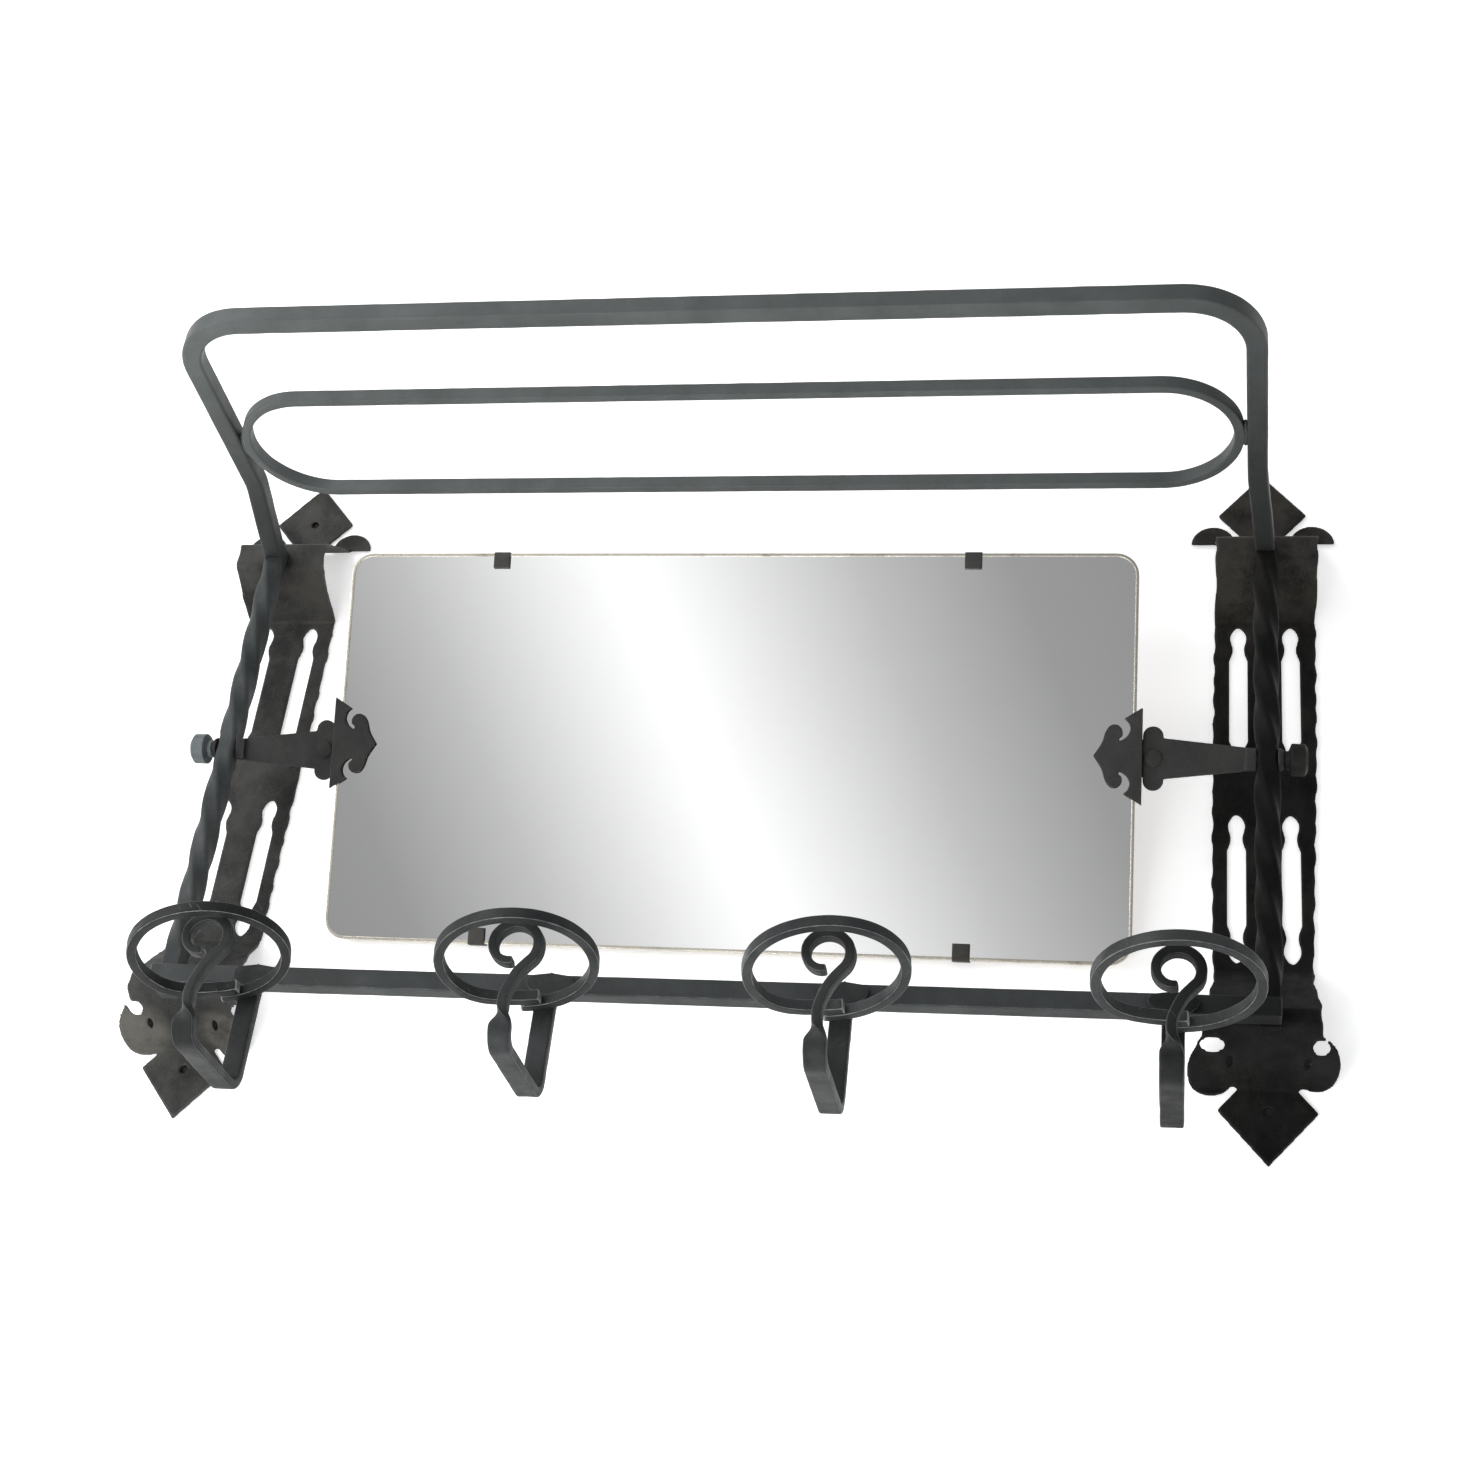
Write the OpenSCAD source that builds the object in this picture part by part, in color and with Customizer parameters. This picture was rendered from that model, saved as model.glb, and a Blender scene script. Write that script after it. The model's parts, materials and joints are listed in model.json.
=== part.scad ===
// Wrought-iron wall rack: tilting mirror between two twisted posts, hat shelf above, coat hooks below.
// Millimetres. X runs along the wall, Z is up, the wall is the plane Y = 0 and the rack stands before it, at -Y.
// The origin is the middle of the four wall screws, on the wall.

/* [Frame] */
// Distance between the centre lines of the two wall plates
plate_pitch = 860; // [780:10:960]
// Distance from the upper to the lower wall screw of a plate
screw_pitch = 544; // [520:2:580]
// Diameter of the wall screw holes
screw_d = 7; // [5:0.5:9]
// Height of the mirror pivots below the middle of the wall screws
pivot_drop = 6; // [0:1:12]
// Distance from the wall to the centre line of the posts
post_standoff = 64; // [62:1:72]
// Side of the square bar of the posts, the hat rail and the lower bar
bar = 16; // [14:0.5:18]

/* [Wall plate] */
// Thickness of the sheet
sheet = 3; // [2:0.5:4]
// Width of the long body of a plate
plate_w = 82; // [74:1:86]
// Sideways drift of the right plate's body and slots from end to end
right_drift = 5; // [0:0.5:5]
// How much the hammered long edges wander in and out
edge_wave = 0.9; // [0:0.1:1.5]
// Distance between two hollows of the hammered edge
edge_wave_l = 21; // [15:1:40]
// Half width of the diamond tips
tip_half_w = 37; // [32:1:42]
// Half height of the diamond tips
tip_half_h = 42.5; // [36:0.5:48]
// Radius of the half-round wings under the upper tip
wing_r = 18.5; // [15:0.5:21]
// Drop from the upper screws to the flat underside of the wings
wing_drop = 30; // [25:0.5:32]
// Height of the flat band of the upper ridge
upper_ridge_h = 22; // [16:1:26]
// Height of the flat band of the lower ridge
lower_ridge_h = 10; // [8:1:16]
// Drop from the upper screws to the middle of the upper ridge
upper_ridge_drop = 71; // [66:1:76]
// Drop from the upper screws to the foot of the upper ridge
upper_foot_drop = 108; // [100:1:112]
// Rise from the lower screws to the middle of the lower ridge
lower_ridge_rise = 54; // [48:1:58]
// Rise from the lower screws to the foot of the lower ridge
lower_foot_rise = 114; // [104:1:118]
// Rise from the lower screws to the place where the lobes reach the wall
lobe_foot_rise = 18; // [6:1:20]
// Radius that the sheet is bent to
sheet_bend_r = 5; // [4:0.5:6]
// Distance from the plate's centre line to the centre of a lobe
lobe_x = 35; // [34:0.5:38]
// Half width of a lobe
lobe_half_w = 17; // [15:0.5:19]
// Half height of a lobe, seen square to the wall
lobe_half_h = 14; // [12:0.5:16]
// Rise from the lower screws to the centre of a lobe
lobe_rise = 25.5; // [23:0.5:27]
// How much farther out the lobe beside the mirror stands
inner_lobe_out = 7; // [0:0.5:8]
// How much wider the lobe away from the mirror is on the left plate
left_lobe_wider = 5; // [0:0.5:6]
// How much higher that lobe stands on the right plate
right_lobe_up = 4.5; // [0:0.5:5]
// How much narrower the lobe beside the mirror is on the left plate
left_lobe_narrower = 5; // [0:0.5:6]
// How much farther out the inner eye notch stands on the left plate
left_eye_out = 12.5; // [10:0.5:16]
// How much farther out the slit under it begins there
left_slit_out = 23; // [18:1:26]
// Width of the slits that part the lobes from the diamond
lobe_slit = 1.5; // [1:0.5:2.5]
// Distance from the plate's centre line to the inner end of a slit
lobe_slit_x = 20; // [17:0.5:23]
// Half width of the eye notch above a lobe
eye_half_w = 6.3; // [6:0.1:7]
// Half height of the eye notch
eye_half_h = 3.5; // [3:0.5:4]
// Distance from the plate's centre line to the centre of an eye notch
eye_x = 38; // [37.5:0.5:39]
// Rise from the lower screws to the eye notches and the end of the body
eye_rise = 38; // [36:0.5:39]
// Rise of the pointed horn of a lobe above the middle of the eye notch
horn_rise = 2.5; // [2:0.1:3.5]
// Distance from the plate's centre line to a lobe hole
lobe_hole_x = 28; // [26:0.5:32]
// Diameter of the small holes in the lobes
lobe_hole_d = 5; // [3:0.5:7]

/* [Slots] */
// Width of a slot
slot_w = 14.5; // [10:0.5:17]
// Distance from the plate's centre line to the centre of a slot
slot_x = 21; // [18:0.5:22]
// Height of the ornamental end of a slot, from its shoulder to its point
slot_end_h = 35; // [28:1:40]
// Height of the upper slots
upper_slot_h = 139; // [120:1:146]
// Height of the upper slots' lower ends, from shoulder to point
upper_slot_foot_h = 29; // [24:1:34]
// Height of the lower slots
lower_slot_h = 132; // [110:2:136]
// Plain sheet between a slot's point and the foot of the ridge
slot_margin = 6; // [4:1:10]

/* [Posts] */
// Height of post that turns by a quarter
quarter_h = 45.5; // [40:0.5:45.5]
// Width of the twisted lengths across their flats
twist_w = 17.5; // [15:0.5:18]
// Radius of the posts over their worn edges
post_edge_r = 9.8; // [9.5:0.1:10.5]
// Height of the plain length at the pivot
boss_h = 20; // [20:1:28]
// Length of post below the lower bar
post_end = 1; // [0:0.5:2]

/* [Hat shelf] */
// Distance from the wall to the front of the hat rail
rail_reach = 366; // [330:2:400]
// Distance from the wall to the bend in the rail's arms
rail_bend_reach = 150; // [120:2:170]
// How far the arms stand inside the posts at their bend, centre to centre
bend_inset = 8; // [4:1:12]
// How far the arms stand inside the posts at the front, centre to centre
front_inset = 14; // [8:1:18]
// Drop from the upper screws to the middle of the level part of the rail
rail_drop = 62.5; // [60:0.5:70]
// Sideways slope of that part in degrees, left end up
shelf_roll = 0.3; // [0:0.1:0.6]
// Drop from the upper screws to the middle of the rail at the posts
rail_root_drop = 78; // [72:1:80]
// Outer radius of the rail's front corners
rail_corner_r = 62; // [40:1:80]
// Drop of the oval's middle below the middle of the rail
oval_drop = 2; // [0:0.5:2]
// Thickness of the flat bar of the oval
oval_t = 8; // [5:0.5:10]
// Height of the flat bar of the oval
oval_h = 12; // [8:0.5:16]
// Overall depth of the oval, front to back
oval_depth = 128; // [100:2:150]
// Gap between the rail's front bar and the oval
oval_gap = 82.5; // [60:2.5:95]
// Length of the weld that joins each end of the oval to the rail
oval_weld_l = 30; // [16:2:40]
// Thickness of that weld
oval_weld_t = 1.5; // [1:0.5:4]

/* [Lower bar and rings] */
// Rise from the lower screws to the middle of the lower bar
lower_bar_rise = 47; // [44:1:50]
// Places of the rings along the bar, as shares of the plate distance
ring_shares = [-0.415, -0.1335, 0.1357, 0.4244];
// Thickness of the ring's bar, across the ring
ring_t = 8; // [6:0.5:10]
// Height of the ring's bar
ring_h = 10; // [8:0.5:14]
// Inner radius of a ring
ring_r = 53.4; // [44:0.2:58]
// Gap between the two lapped ends of a ring
ring_gap = 0.4; // [0.3:0.1:1]
// Angle by which the ends of a ring lap each other
ring_lap = 18; // [10:1:30]
// Slope of each ring in degrees, front edge up
ring_tilts = [8, 9, 9, 7];
// Slope of each ring along the wall in degrees, right side up
ring_rolls = [12, 7.5, 7.5, 1];
// Angle over which the front end of a ring swings out to lap the other
ring_swing = 50; // [30:5:90]
// Depth of the flat seat where a ring meets its hook
ring_seat = 0.4; // [0.2:0.1:0.8]
// Drop from the middle of the lower bar to the underside of the rings at their seats
ring_drop = 27; // [20:1:30]

/* [Hooks] */
// Places of the hooks along the bar, as shares of the plate distance
hook_shares = [-0.403, -0.125, 0.139, 0.42];
// Width of the hook's flat bar
hook_w = 17; // [14:1:20]
// Thickness of the hook's flat bar
hook_t = 8; // [6:0.5:9]
// Distance between the back and the front leg, centre to centre
hook_reach = 101; // [90:0.5:101]
// Drop from the middle of the lower bar to the bottom of the hook
hook_depth = 102; // [90:1:120]
// Depth of each hook, as a share of that drop
hook_depth_shares = [1, 0.965, 1, 1];
// Centre-line radius of the hook's two bends
hook_bend_r = 14; // [12:1:26]
// Height over which the front leg makes its quarter twist
hook_neck_h = 12; // [10:1:20]
// Width of the bar at the scroll
scroll_w = 10.5; // [8:0.5:14]
// Drop from the middle of the lower bar to the centre of the scroll
scroll_drop = 19; // [14:1:24]
// Drop of each scroll, as a share of that drop
scroll_drop_shares = [1, 1, 1, 1.27];
// Centre-line radius of the scroll
scroll_r = 17.5; // [15:0.5:20]
// Radius of each scroll, as a share of that radius
scroll_r_shares = [0.95, 1, 0.93, 0.9];
// How far the scroll sits to the right of the leg
scroll_x = 2; // [0:0.5:5]
// Width of the flattened leaf at the top of the back leg
leaf_w = 39; // [24:1:44]
// Height of the flattened leaf
leaf_h = 20; // [18:0.5:24]
// Rise of the leaf's tip above the lower bar
leaf_rise = 1; // [0:0.5:2]
// Thickness of the flattened leaf
leaf_t = 4; // [2.5:0.5:5]

/* [Mirror] */
// Width of the mirror
mirror_w = 659; // [600:1:660]
// Height of the mirror
mirror_h = 328; // [280:1:328]
// Corner radius of the mirror
mirror_corner_r = 18; // [10:1:30]
// Forward tilt of the mirror's top at rest, in degrees
mirror_tilt = 20.5; // [0:0.5:20.5]
// Sideways slope of the mirror in degrees, left end up
mirror_roll = 0.4; // [0:0.1:0.5]
// Rise of the mirror's middle above its pivots
mirror_rise = 3; // [0:0.5:4]
// Thickness of the glass
glass_t = 4; // [3:0.5:4]
// Thickness of the backing board
backing_t = 3; // [2:0.5:4]
// Thickness of the rim's wall and lips
rim_t = 0.8; // [0.6:0.1:1]
// Width of the rim's lips over the glass and the board
rim_lip = 1.7; // [1.5:0.1:4]
// Width of an edge clip
clip_w = 14; // [10:1:18]
// Length of an edge clip over the glass
clip_l = 13; // [10:1:18]
// Thickness of an edge clip
clip_t = 1.2; // [0.8:0.1:1.5]
// Place of the edge clips, as a share of half the mirror's width
clip_share = 0.6; // [0.4:0.02:0.7]

/* [Pivots] */
// Length of the lily-shaped jaw over the glass
lily_l = 38; // [34:1:46]
// Half height of the lily-shaped jaw
lily_half_h = 39; // [34:0.5:44]
// Thickness of the jaw plates
jaw_t = 2; // [1.5:0.1:2.5]
// Width of the block between mirror edge and arm
jaw_block_w = 5; // [4:0.5:8]
// Half height of the rear jaw and of the block
jaw_half_h = 15; // [12:0.5:18]
// Thickness of the arm
arm_t = 4; // [3:0.5:5]
// Half height of the arm at the post
arm_half_h = 8.5; // [7:0.5:8.5]
// Half height of the arm at its lobes
arm_root_half_h = 17; // [15:0.5:18]
// Radius of the arm's lobes
arm_lobe_r = 8; // [7:0.1:8.4]
// Distance from the pivot to the centre of an arm lobe
arm_lobe_z = 17.5; // [16:0.5:20]
// Length of the thick end of the arm beside the post
arm_heel_l = 8; // [6:1:12]
// Half depth of the thick end of the arm
arm_heel_half_d = 5; // [4.6:0.1:5]
// Radius of the head of the rivet in the arm
arm_rivet_r = 7.4; // [6:0.2:7.6]
// Shank diameter of that rivet
arm_rivet_d = 6; // [4:0.5:7]
// Height of the rivet heads
rivet_head_h = 1.8; // [1:0.1:2.4]
// Diameter of the pivot pin
pin_d = 9; // [7:0.5:10]
// Radial play of the pin in its holes
pin_play = 0.05; // [0.03:0.01:0.1]
// Gap between parts that turn past each other
run_gap = 0.3; // [0.2:0.1:0.5]

/* [Knobs] */
// Thickness of the domed collar between post and knob
collar_t = 4.5; // [3:0.5:6]
// Radius of the collar at the post
collar_r = 9.5; // [8:0.5:12]
// Radius of the collar at the knob
collar_top_r = 7.6; // [7:0.2:8]
// Length of the knob's neck
neck_l = 3; // [2:0.5:6]
// Radius of the knob's neck
neck_r = 7.2; // [6.5:0.1:8]
// Length of the knob's head
knob_l = 15; // [12:0.5:18]
// Radius of the knob's head
knob_r = 13; // [12:0.5:16]
// Length over which the head narrows at each end
knob_chamfer = 2.4; // [1:0.2:3]

/* [Hidden] */
$fn = 48;
// Overrun of every cut
cut = 5;
// Length by which forms that are forged together reach into each other
lap = sheet / 5;
// Colours of the blackened iron, the lighter bare iron and the mirror
iron = "#26292b";
worn_iron = "#3a3f42";
glass = "#c9d0d4";
board = "#6b4a30";
rim_metal = "#b3a98f";

// Heights, from the origin
screw_z = screw_pitch / 2;
pivot_z = -pivot_drop;
wing_z = screw_z - wing_drop;
upper_ridge_z = screw_z - upper_ridge_drop;
upper_foot_z = screw_z - upper_foot_drop;
lower_ridge_z = lower_ridge_rise - screw_z;
lower_foot_z = lower_foot_rise - screw_z;
lobe_foot_z = lobe_foot_rise - screw_z;
lobe_z = lobe_rise - screw_z;
eye_z = eye_rise - screw_z;
rail_z = screw_z - rail_drop;
rail_root_z = screw_z - rail_root_drop;
bar_z = lower_bar_rise - screw_z;

// Depths, from the wall
post_back = post_standoff - bar / 2;
post_front = post_standoff + bar / 2;
bar_front = post_front + bar;
leg_front = bar_front + hook_t;
leg_y = -(bar_front + hook_t / 2);
front_leg_y = leg_y - hook_reach;

// Places along the wall
plate_x = plate_pitch / 2;
bend_x = plate_x - bend_inset;
front_x = plate_x - front_inset;
ring_x = plate_pitch * ring_shares;
hook_x = plate_pitch * hook_shares;

// Mirror depths, from the pivot axis towards the wall
glass_front = -glass_t;
rim_front = glass_front - rim_t;
rim_back = backing_t + rim_t;
jaw_front = rim_front - jaw_t;
jaw_back = rim_back + jaw_t;
jaw_x = mirror_w / 2 + jaw_block_w;
heel_x = plate_x - bar / 2 - run_gap;

// Half outline of a slot's end: shares of half the slot's width and of the end's height
slot_end_shares = [
    [1, 0], [0.98, 0.06], [0.78, 0.17], [0.62, 0.32], [0.66, 0.44],
    [0.85, 0.6], [0.86, 0.74], [0.56, 0.88], [0.16, 0.97]
];
// Half outline of the lily jaw: shares of its length and of its half height
lily_shares = [
    [0.376, 0.766], [0.29, 0.69], [0.25, 0.55], [0.32, 0.4], [0.46, 0.31],
    [0.475, 0.37], [0.41, 0.43], [0.42, 0.55], [0.52, 0.64], [0.66, 0.62],
    [0.76, 0.48], [0.83, 0.26], [1, 0]
];
// Half outline of the leaf: shares of half its width and of its height
leaf_shares = [[0.42, 0], [0.62, 0.1], [0.92, 0.35], [1, 0.6], [0.85, 0.84], [0.45, 0.97], [0, 1]];
// How the half width of a plate varies with height: share of the height, share of the half width
outer_waist_shares = [[0, 0.99], [0.05, 0.99], [0.13, 0.9], [0.3, 0.94], [0.55, 1], [1, 1]];
inner_waist_shares = [[0, 1.12], [0.05, 1.06], [0.13, 0.92], [0.3, 0.97], [0.55, 1], [1, 1]];
left_waist_shares = [[0, 1.28], [0.05, 1.18], [0.13, 0.99], [0.3, 0.97], [0.55, 1], [1, 1]];

// Points of a straight or bent line, and the band of thickness t along it
function unit(v) = v / norm(v);
function left_of(v) = [-v[1], v[0]];
function beside(p, i, s) =
    let (last = len(p) - 1)
    let (a = left_of(unit(i == 0 ? p[1] - p[0] : p[i] - p[i - 1])))
    let (b = left_of(unit(i == last ? p[last] - p[last - 1] : p[i + 1] - p[i])))
    let (m = unit(a + b))
    p[i] + m * s / (m * a);
function band(p, t) = concat(
    [for (i = [0 : len(p) - 1]) beside(p, i, t / 2)],
    [for (i = [len(p) - 1 : -1 : 0]) beside(p, i, -t / 2)]
);

// Arc of n steps that rounds corner q between p and r
function corner_arc(p, q, r, radius, n) =
    let (u = unit(p - q), v = unit(r - q))
    let (half = acos(u * v) / 2)
    let (centre = q + unit(u + v) * radius / sin(half))
    let (start = q + u * radius / tan(half) - centre)
    let (turn = sign(u[0] * v[1] - u[1] * v[0]) * (2 * half - 180))
    [for (k = [0 : n]) let (a = turn * k / n)
        centre + [start[0] * cos(a) - start[1] * sin(a), start[0] * sin(a) + start[1] * cos(a)]];
function rounded(p, radius, n) = concat(
    [p[0]],
    [for (i = [1 : len(p) - 2]) for (q = corner_arc(p[i - 1], p[i], p[i + 1], radius, n)) q],
    [p[len(p) - 1]]
);

// Smooth curve through the points p, with n steps from each point to the next
function blend(a, b, c, d, t) =
    0.5 * (2 * b + (c - a) * t + (2 * a - 5 * b + 4 * c - d) * t * t
        + (3 * b - a - 3 * c + d) * t * t * t);
function curve(p, n) = concat(
    [for (i = [0 : len(p) - 2]) for (k = [0 : n - 1])
        blend(p[max(i - 1, 0)], p[i], p[i + 1], p[min(i + 2, len(p) - 1)], k / n)],
    [p[len(p) - 1]]
);

// Points of a table of shares in real sizes
function sized(shares, w, h) = [for (s = shares) [s[0] * w, s[1] * h]];
function mirrored(p) = [for (i = [len(p) - 1 : -1 : 0]) [-p[i][0], p[i][1]]];
function flipped(p) = [for (i = [len(p) - 1 : -1 : 0]) [p[i][0], -p[i][1]]];

// Stands a drawing up: its x stays, its y becomes z, and it is d deep towards the viewer
module upright(d) {
    rotate([90, 0, 0]) linear_extrude(d) children();
}

// Lays a side view, drawn as y and z, across a width w centred on X = 0
module across(w) {
    rotate([90, 0, 90]) linear_extrude(w, center = true) children();
}

// Round bar along X from x0, of length l
module along_x(x0, l, r) {
    translate([x0, 0, 0]) rotate([0, 90, 0]) cylinder(h = l, r = r);
}

module oval_shape(x, z, half_w, half_h) {
    n = 40;
    polygon([for (i = [0 : n - 1]) [x + half_w * cos(360 * i / n), z + half_h * sin(360 * i / n)]]);
}

// Wall plate

body_h = wing_z - eye_z;
function up_share(z) = (z - eye_z) / body_h;
function drift(z, whole) = whole * (up_share(z) - 0.55);
function wander(z, phase) = edge_wave
    * (sin(360 * z / edge_wave_l + phase) + 0.6 * sin(220 * z / edge_wave_l + 3 * phase)) / 1.6;
function edge_x(z, shares, phase) = lookup(up_share(z), shares) * plate_w / 2 + wander(z, phase);

module tip_diamond(z, grown = 1) {
    w = grown * tip_half_w;
    h = grown * tip_half_h;
    translate([0, z]) polygon([[w, 0], [0, h], [-w, 0], [0, -h]]);
}

module wings() {
    intersection() {
        for (side = [-1, 1]) translate([side * plate_w / 2, wing_z]) circle(wing_r);
        translate([-plate_w, wing_z]) square([2 * plate_w, wing_r]);
    }
}

module plate_body(whole_drift, inner_shares) {
    n = 120;
    rows = [for (i = [0 : n]) eye_z + body_h * i / n];
    polygon(concat(
        [for (z = rows) [edge_x(z, outer_waist_shares, 0) + drift(z, whole_drift), z]],
        [for (i = [n : -1 : 0]) let (z = rows[i])
            [drift(z, whole_drift) - edge_x(z, inner_shares, 70), z]]
    ));
}

// A lobe stands farther out on the mirror's side, which is the side of -X
function lobe_out(side) = side < 0 ? inner_lobe_out : 0;

module lobe(side, wider, up) {
    x = side * (lobe_x + lobe_out(side) + wider / 2);
    z = lobe_z + up;
    half_w = lobe_half_w + wider / 2;
    horn = [
        [x + side * 0.95 * half_w, z],
        [x + side * 0.52 * lobe_half_w, eye_z + horn_rise],
        [x + side * 0.25 * half_w, z]
    ];
    oval_shape(x, z, half_w, lobe_half_h - up / 4);
    polygon(side > 0 ? horn : [horn[2], horn[1], horn[0]]);
}

module lobes(narrower, wider, up, slit_out) {
    slit_share = lobe_slit * norm([tip_half_w, tip_half_h]) / (tip_half_w * tip_half_h);
    difference() {
        union() {
            lobe(-1, -narrower, 0);
            lobe(1, wider, up);
            translate([-lobe_x - lobe_out(-1), lobe_z - lobe_half_h / 2]) {
                square([2 * lobe_x + lobe_out(-1), eye_z - lobe_z + lobe_half_h / 2]);
            }
        }
        difference() {
            tip_diamond(-screw_z, 1 + slit_share);
            translate([-lobe_slit_x - slit_out, -screw_z]) {
                square([2 * lobe_slit_x + slit_out, 2 * tip_half_h]);
            }
        }
    }
}

module slot(top_z, h, foot_h) {
    head = [for (q = curve(sized(slot_end_shares, slot_w / 2, slot_end_h), 3))
        [q[0], q[1] + h / 2 - slot_end_h]];
    foot = [for (q = curve(sized(slot_end_shares, slot_w / 2, foot_h), 3))
        [q[0], q[1] + h / 2 - foot_h]];
    right = concat(flipped(foot), head);
    translate([0, top_z - h / 2]) polygon(concat(right, mirrored(right)));
}

// The lobes are described by how much narrower the inner one is, how much wider the outer one is and
// how much higher that one stands; the inner eye notch and slit may stand farther out
module plate_outline(whole_drift, lobe_changes, eye_out, slit_out, inner_shares) {
    upper_z = upper_foot_z - slot_margin;
    lower_z = lower_foot_z + slot_margin + lower_slot_h;
    difference() {
        union() {
            tip_diamond(screw_z);
            tip_diamond(-screw_z);
            wings();
            plate_body(whole_drift, inner_shares);
            lobes(lobe_changes[0], lobe_changes[1], lobe_changes[2], slit_out);
        }
        for (side = [-1, 1]) {
            longer = 0.4 * lobe_out(side);
            eye_at = side < 0 ? -eye_x - longer - eye_out : eye_x;
            oval_shape(eye_at, eye_z, eye_half_w + longer, eye_half_h);
            translate([side * slot_x + drift(upper_z - upper_slot_h / 2, whole_drift), 0]) {
                slot(upper_z, upper_slot_h, upper_slot_foot_h);
            }
            translate([side * slot_x + drift(lower_z - lower_slot_h / 2, whole_drift), 0]) {
                slot(lower_z, lower_slot_h, slot_end_h);
            }
        }
    }
}

// Side view of the formed sheet: flat on the wall, raised to the post at two ridges
module plate_profile() {
    wall = -sheet / 2;
    proud = sheet / 2 - post_back;
    top = screw_z + tip_half_h + cut;
    polygon(band(rounded([
        [wall, top],
        [wall, wing_z],
        [proud, upper_ridge_z + upper_ridge_h / 2],
        [proud, upper_ridge_z - upper_ridge_h / 2],
        [wall, upper_foot_z],
        [wall, lower_foot_z],
        [proud, lower_ridge_z + lower_ridge_h / 2],
        [proud, lower_ridge_z - lower_ridge_h / 2],
        [wall, lobe_foot_z],
        [wall, -top]
    ], sheet_bend_r, 5), sheet));
}

module wall_plate(whole_drift, lobe_changes, eye_out, slit_out, inner_shares) {
    color(iron) difference() {
        intersection() {
            across(3 * plate_w) plate_profile();
            upright(post_front) {
                plate_outline(whole_drift, lobe_changes, eye_out, slit_out, inner_shares);
            }
        }
        for (z = [-screw_z, screw_z]) {
            translate([0, cut, z]) rotate([90, 0, 0]) cylinder(h = sheet + 2 * cut, d = screw_d);
        }
        for (x = [-lobe_hole_x, lobe_hole_x]) {
            translate([x, cut, lobe_z + lobe_hole_d]) rotate([90, 0, 0]) {
                cylinder(h = post_front, d = lobe_hole_d);
            }
        }
    }
}

module left_wall_plate() {
    translate([-plate_x, 0, 0]) mirror([1, 0, 0]) {
        lobe_changes = [left_lobe_narrower, left_lobe_wider, 0];
        wall_plate(0, lobe_changes, left_eye_out, left_slit_out, left_waist_shares);
    }
}

module right_wall_plate() {
    translate([plate_x, 0, 0]) wall_plate(right_drift, [0, 0, right_lobe_up], 0, 0, inner_waist_shares);
}

// Posts

post_top_z = rail_root_z + bar / 2;
post_bottom_z = bar_z - bar / 2 - post_end;
twist_h = 4 * quarter_h;

// The edges are worn round, so that the section is a square with its corners cut
module twisted_length(z) {
    flat = twist_w / 2;
    half = sqrt(post_edge_r * post_edge_r - flat * flat);
    translate([0, 0, z]) linear_extrude(twist_h, twist = 360, slices = 40, segments = 16) polygon([
        [flat, -half], [flat, half], [half, flat], [-half, flat],
        [-flat, half], [-flat, -half], [-half, -flat], [half, -flat]
    ]);
}

module plain_length(z0, z1) {
    translate([-bar / 2, -bar / 2, z0]) cube([bar, bar, z1 - z0]);
}

module post() {
    boss_z = pivot_z - boss_h / 2;
    color(iron) difference() {
        translate([0, -post_standoff, 0]) {
            twisted_length(boss_z + boss_h);
            twisted_length(boss_z - twist_h);
            intersection() {
                plain_length(boss_z, boss_z + boss_h);
                translate([0, 0, boss_z]) cylinder(h = boss_h, r = post_edge_r);
            }
            plain_length(boss_z + boss_h + twist_h, post_top_z);
            plain_length(post_bottom_z, boss_z - twist_h);
        }
        translate([0, -post_standoff, pivot_z]) along_x(-bar, 2 * bar, pin_d / 2 + pin_play);
    }
}

module left_post() {
    translate([-plate_x, 0, 0]) post();
}

module right_post() {
    translate([plate_x, 0, 0]) post();
}

// Hat shelf

rail_y = bar / 2 - rail_reach;
rail_bend_y = -rail_bend_reach;
rail_end_y = rail_bend_y + 2 * sheet;

module rail_slab(x, y, z, side) {
    translate([x - side / 2, y, z - side / 2]) cube([side, lap, side]);
}

// The front of the shelf slopes a little from left to right
module shelf_level() {
    translate([0, 0, rail_z]) rotate([0, shelf_roll, 0]) children();
}

module rail_arm(side) {
    hull() {
        shelf_level() rail_slab(side * bend_x, rail_end_y - 2 * lap, 0, bar - lap);
        rail_slab(side * plate_x, -post_front - lap, rail_root_z, bar);
    }
}

module hat_rail() {
    color(worn_iron) {
        shelf_level() translate([0, 0, -bar / 2]) linear_extrude(bar) polygon(band(rounded([
            [bend_x, rail_end_y],
            [bend_x, rail_bend_y],
            [front_x, rail_y],
            [-front_x, rail_y],
            [-bend_x, rail_bend_y],
            [-bend_x, rail_end_y]
        ], rail_corner_r - bar / 2, 14), bar));
        rail_arm(-1);
        rail_arm(1);
    }
}

oval_y = bar - rail_reach + oval_gap + oval_depth / 2;
function arm_inner_x(y) =
    let (lean = (bend_x - front_x) / (rail_bend_y - rail_y))
    bend_x + lean * (y - rail_bend_y) - bar / 2 * norm([1, lean]);
oval_half_l = arm_inner_x(oval_y) - oval_weld_t;

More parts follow.
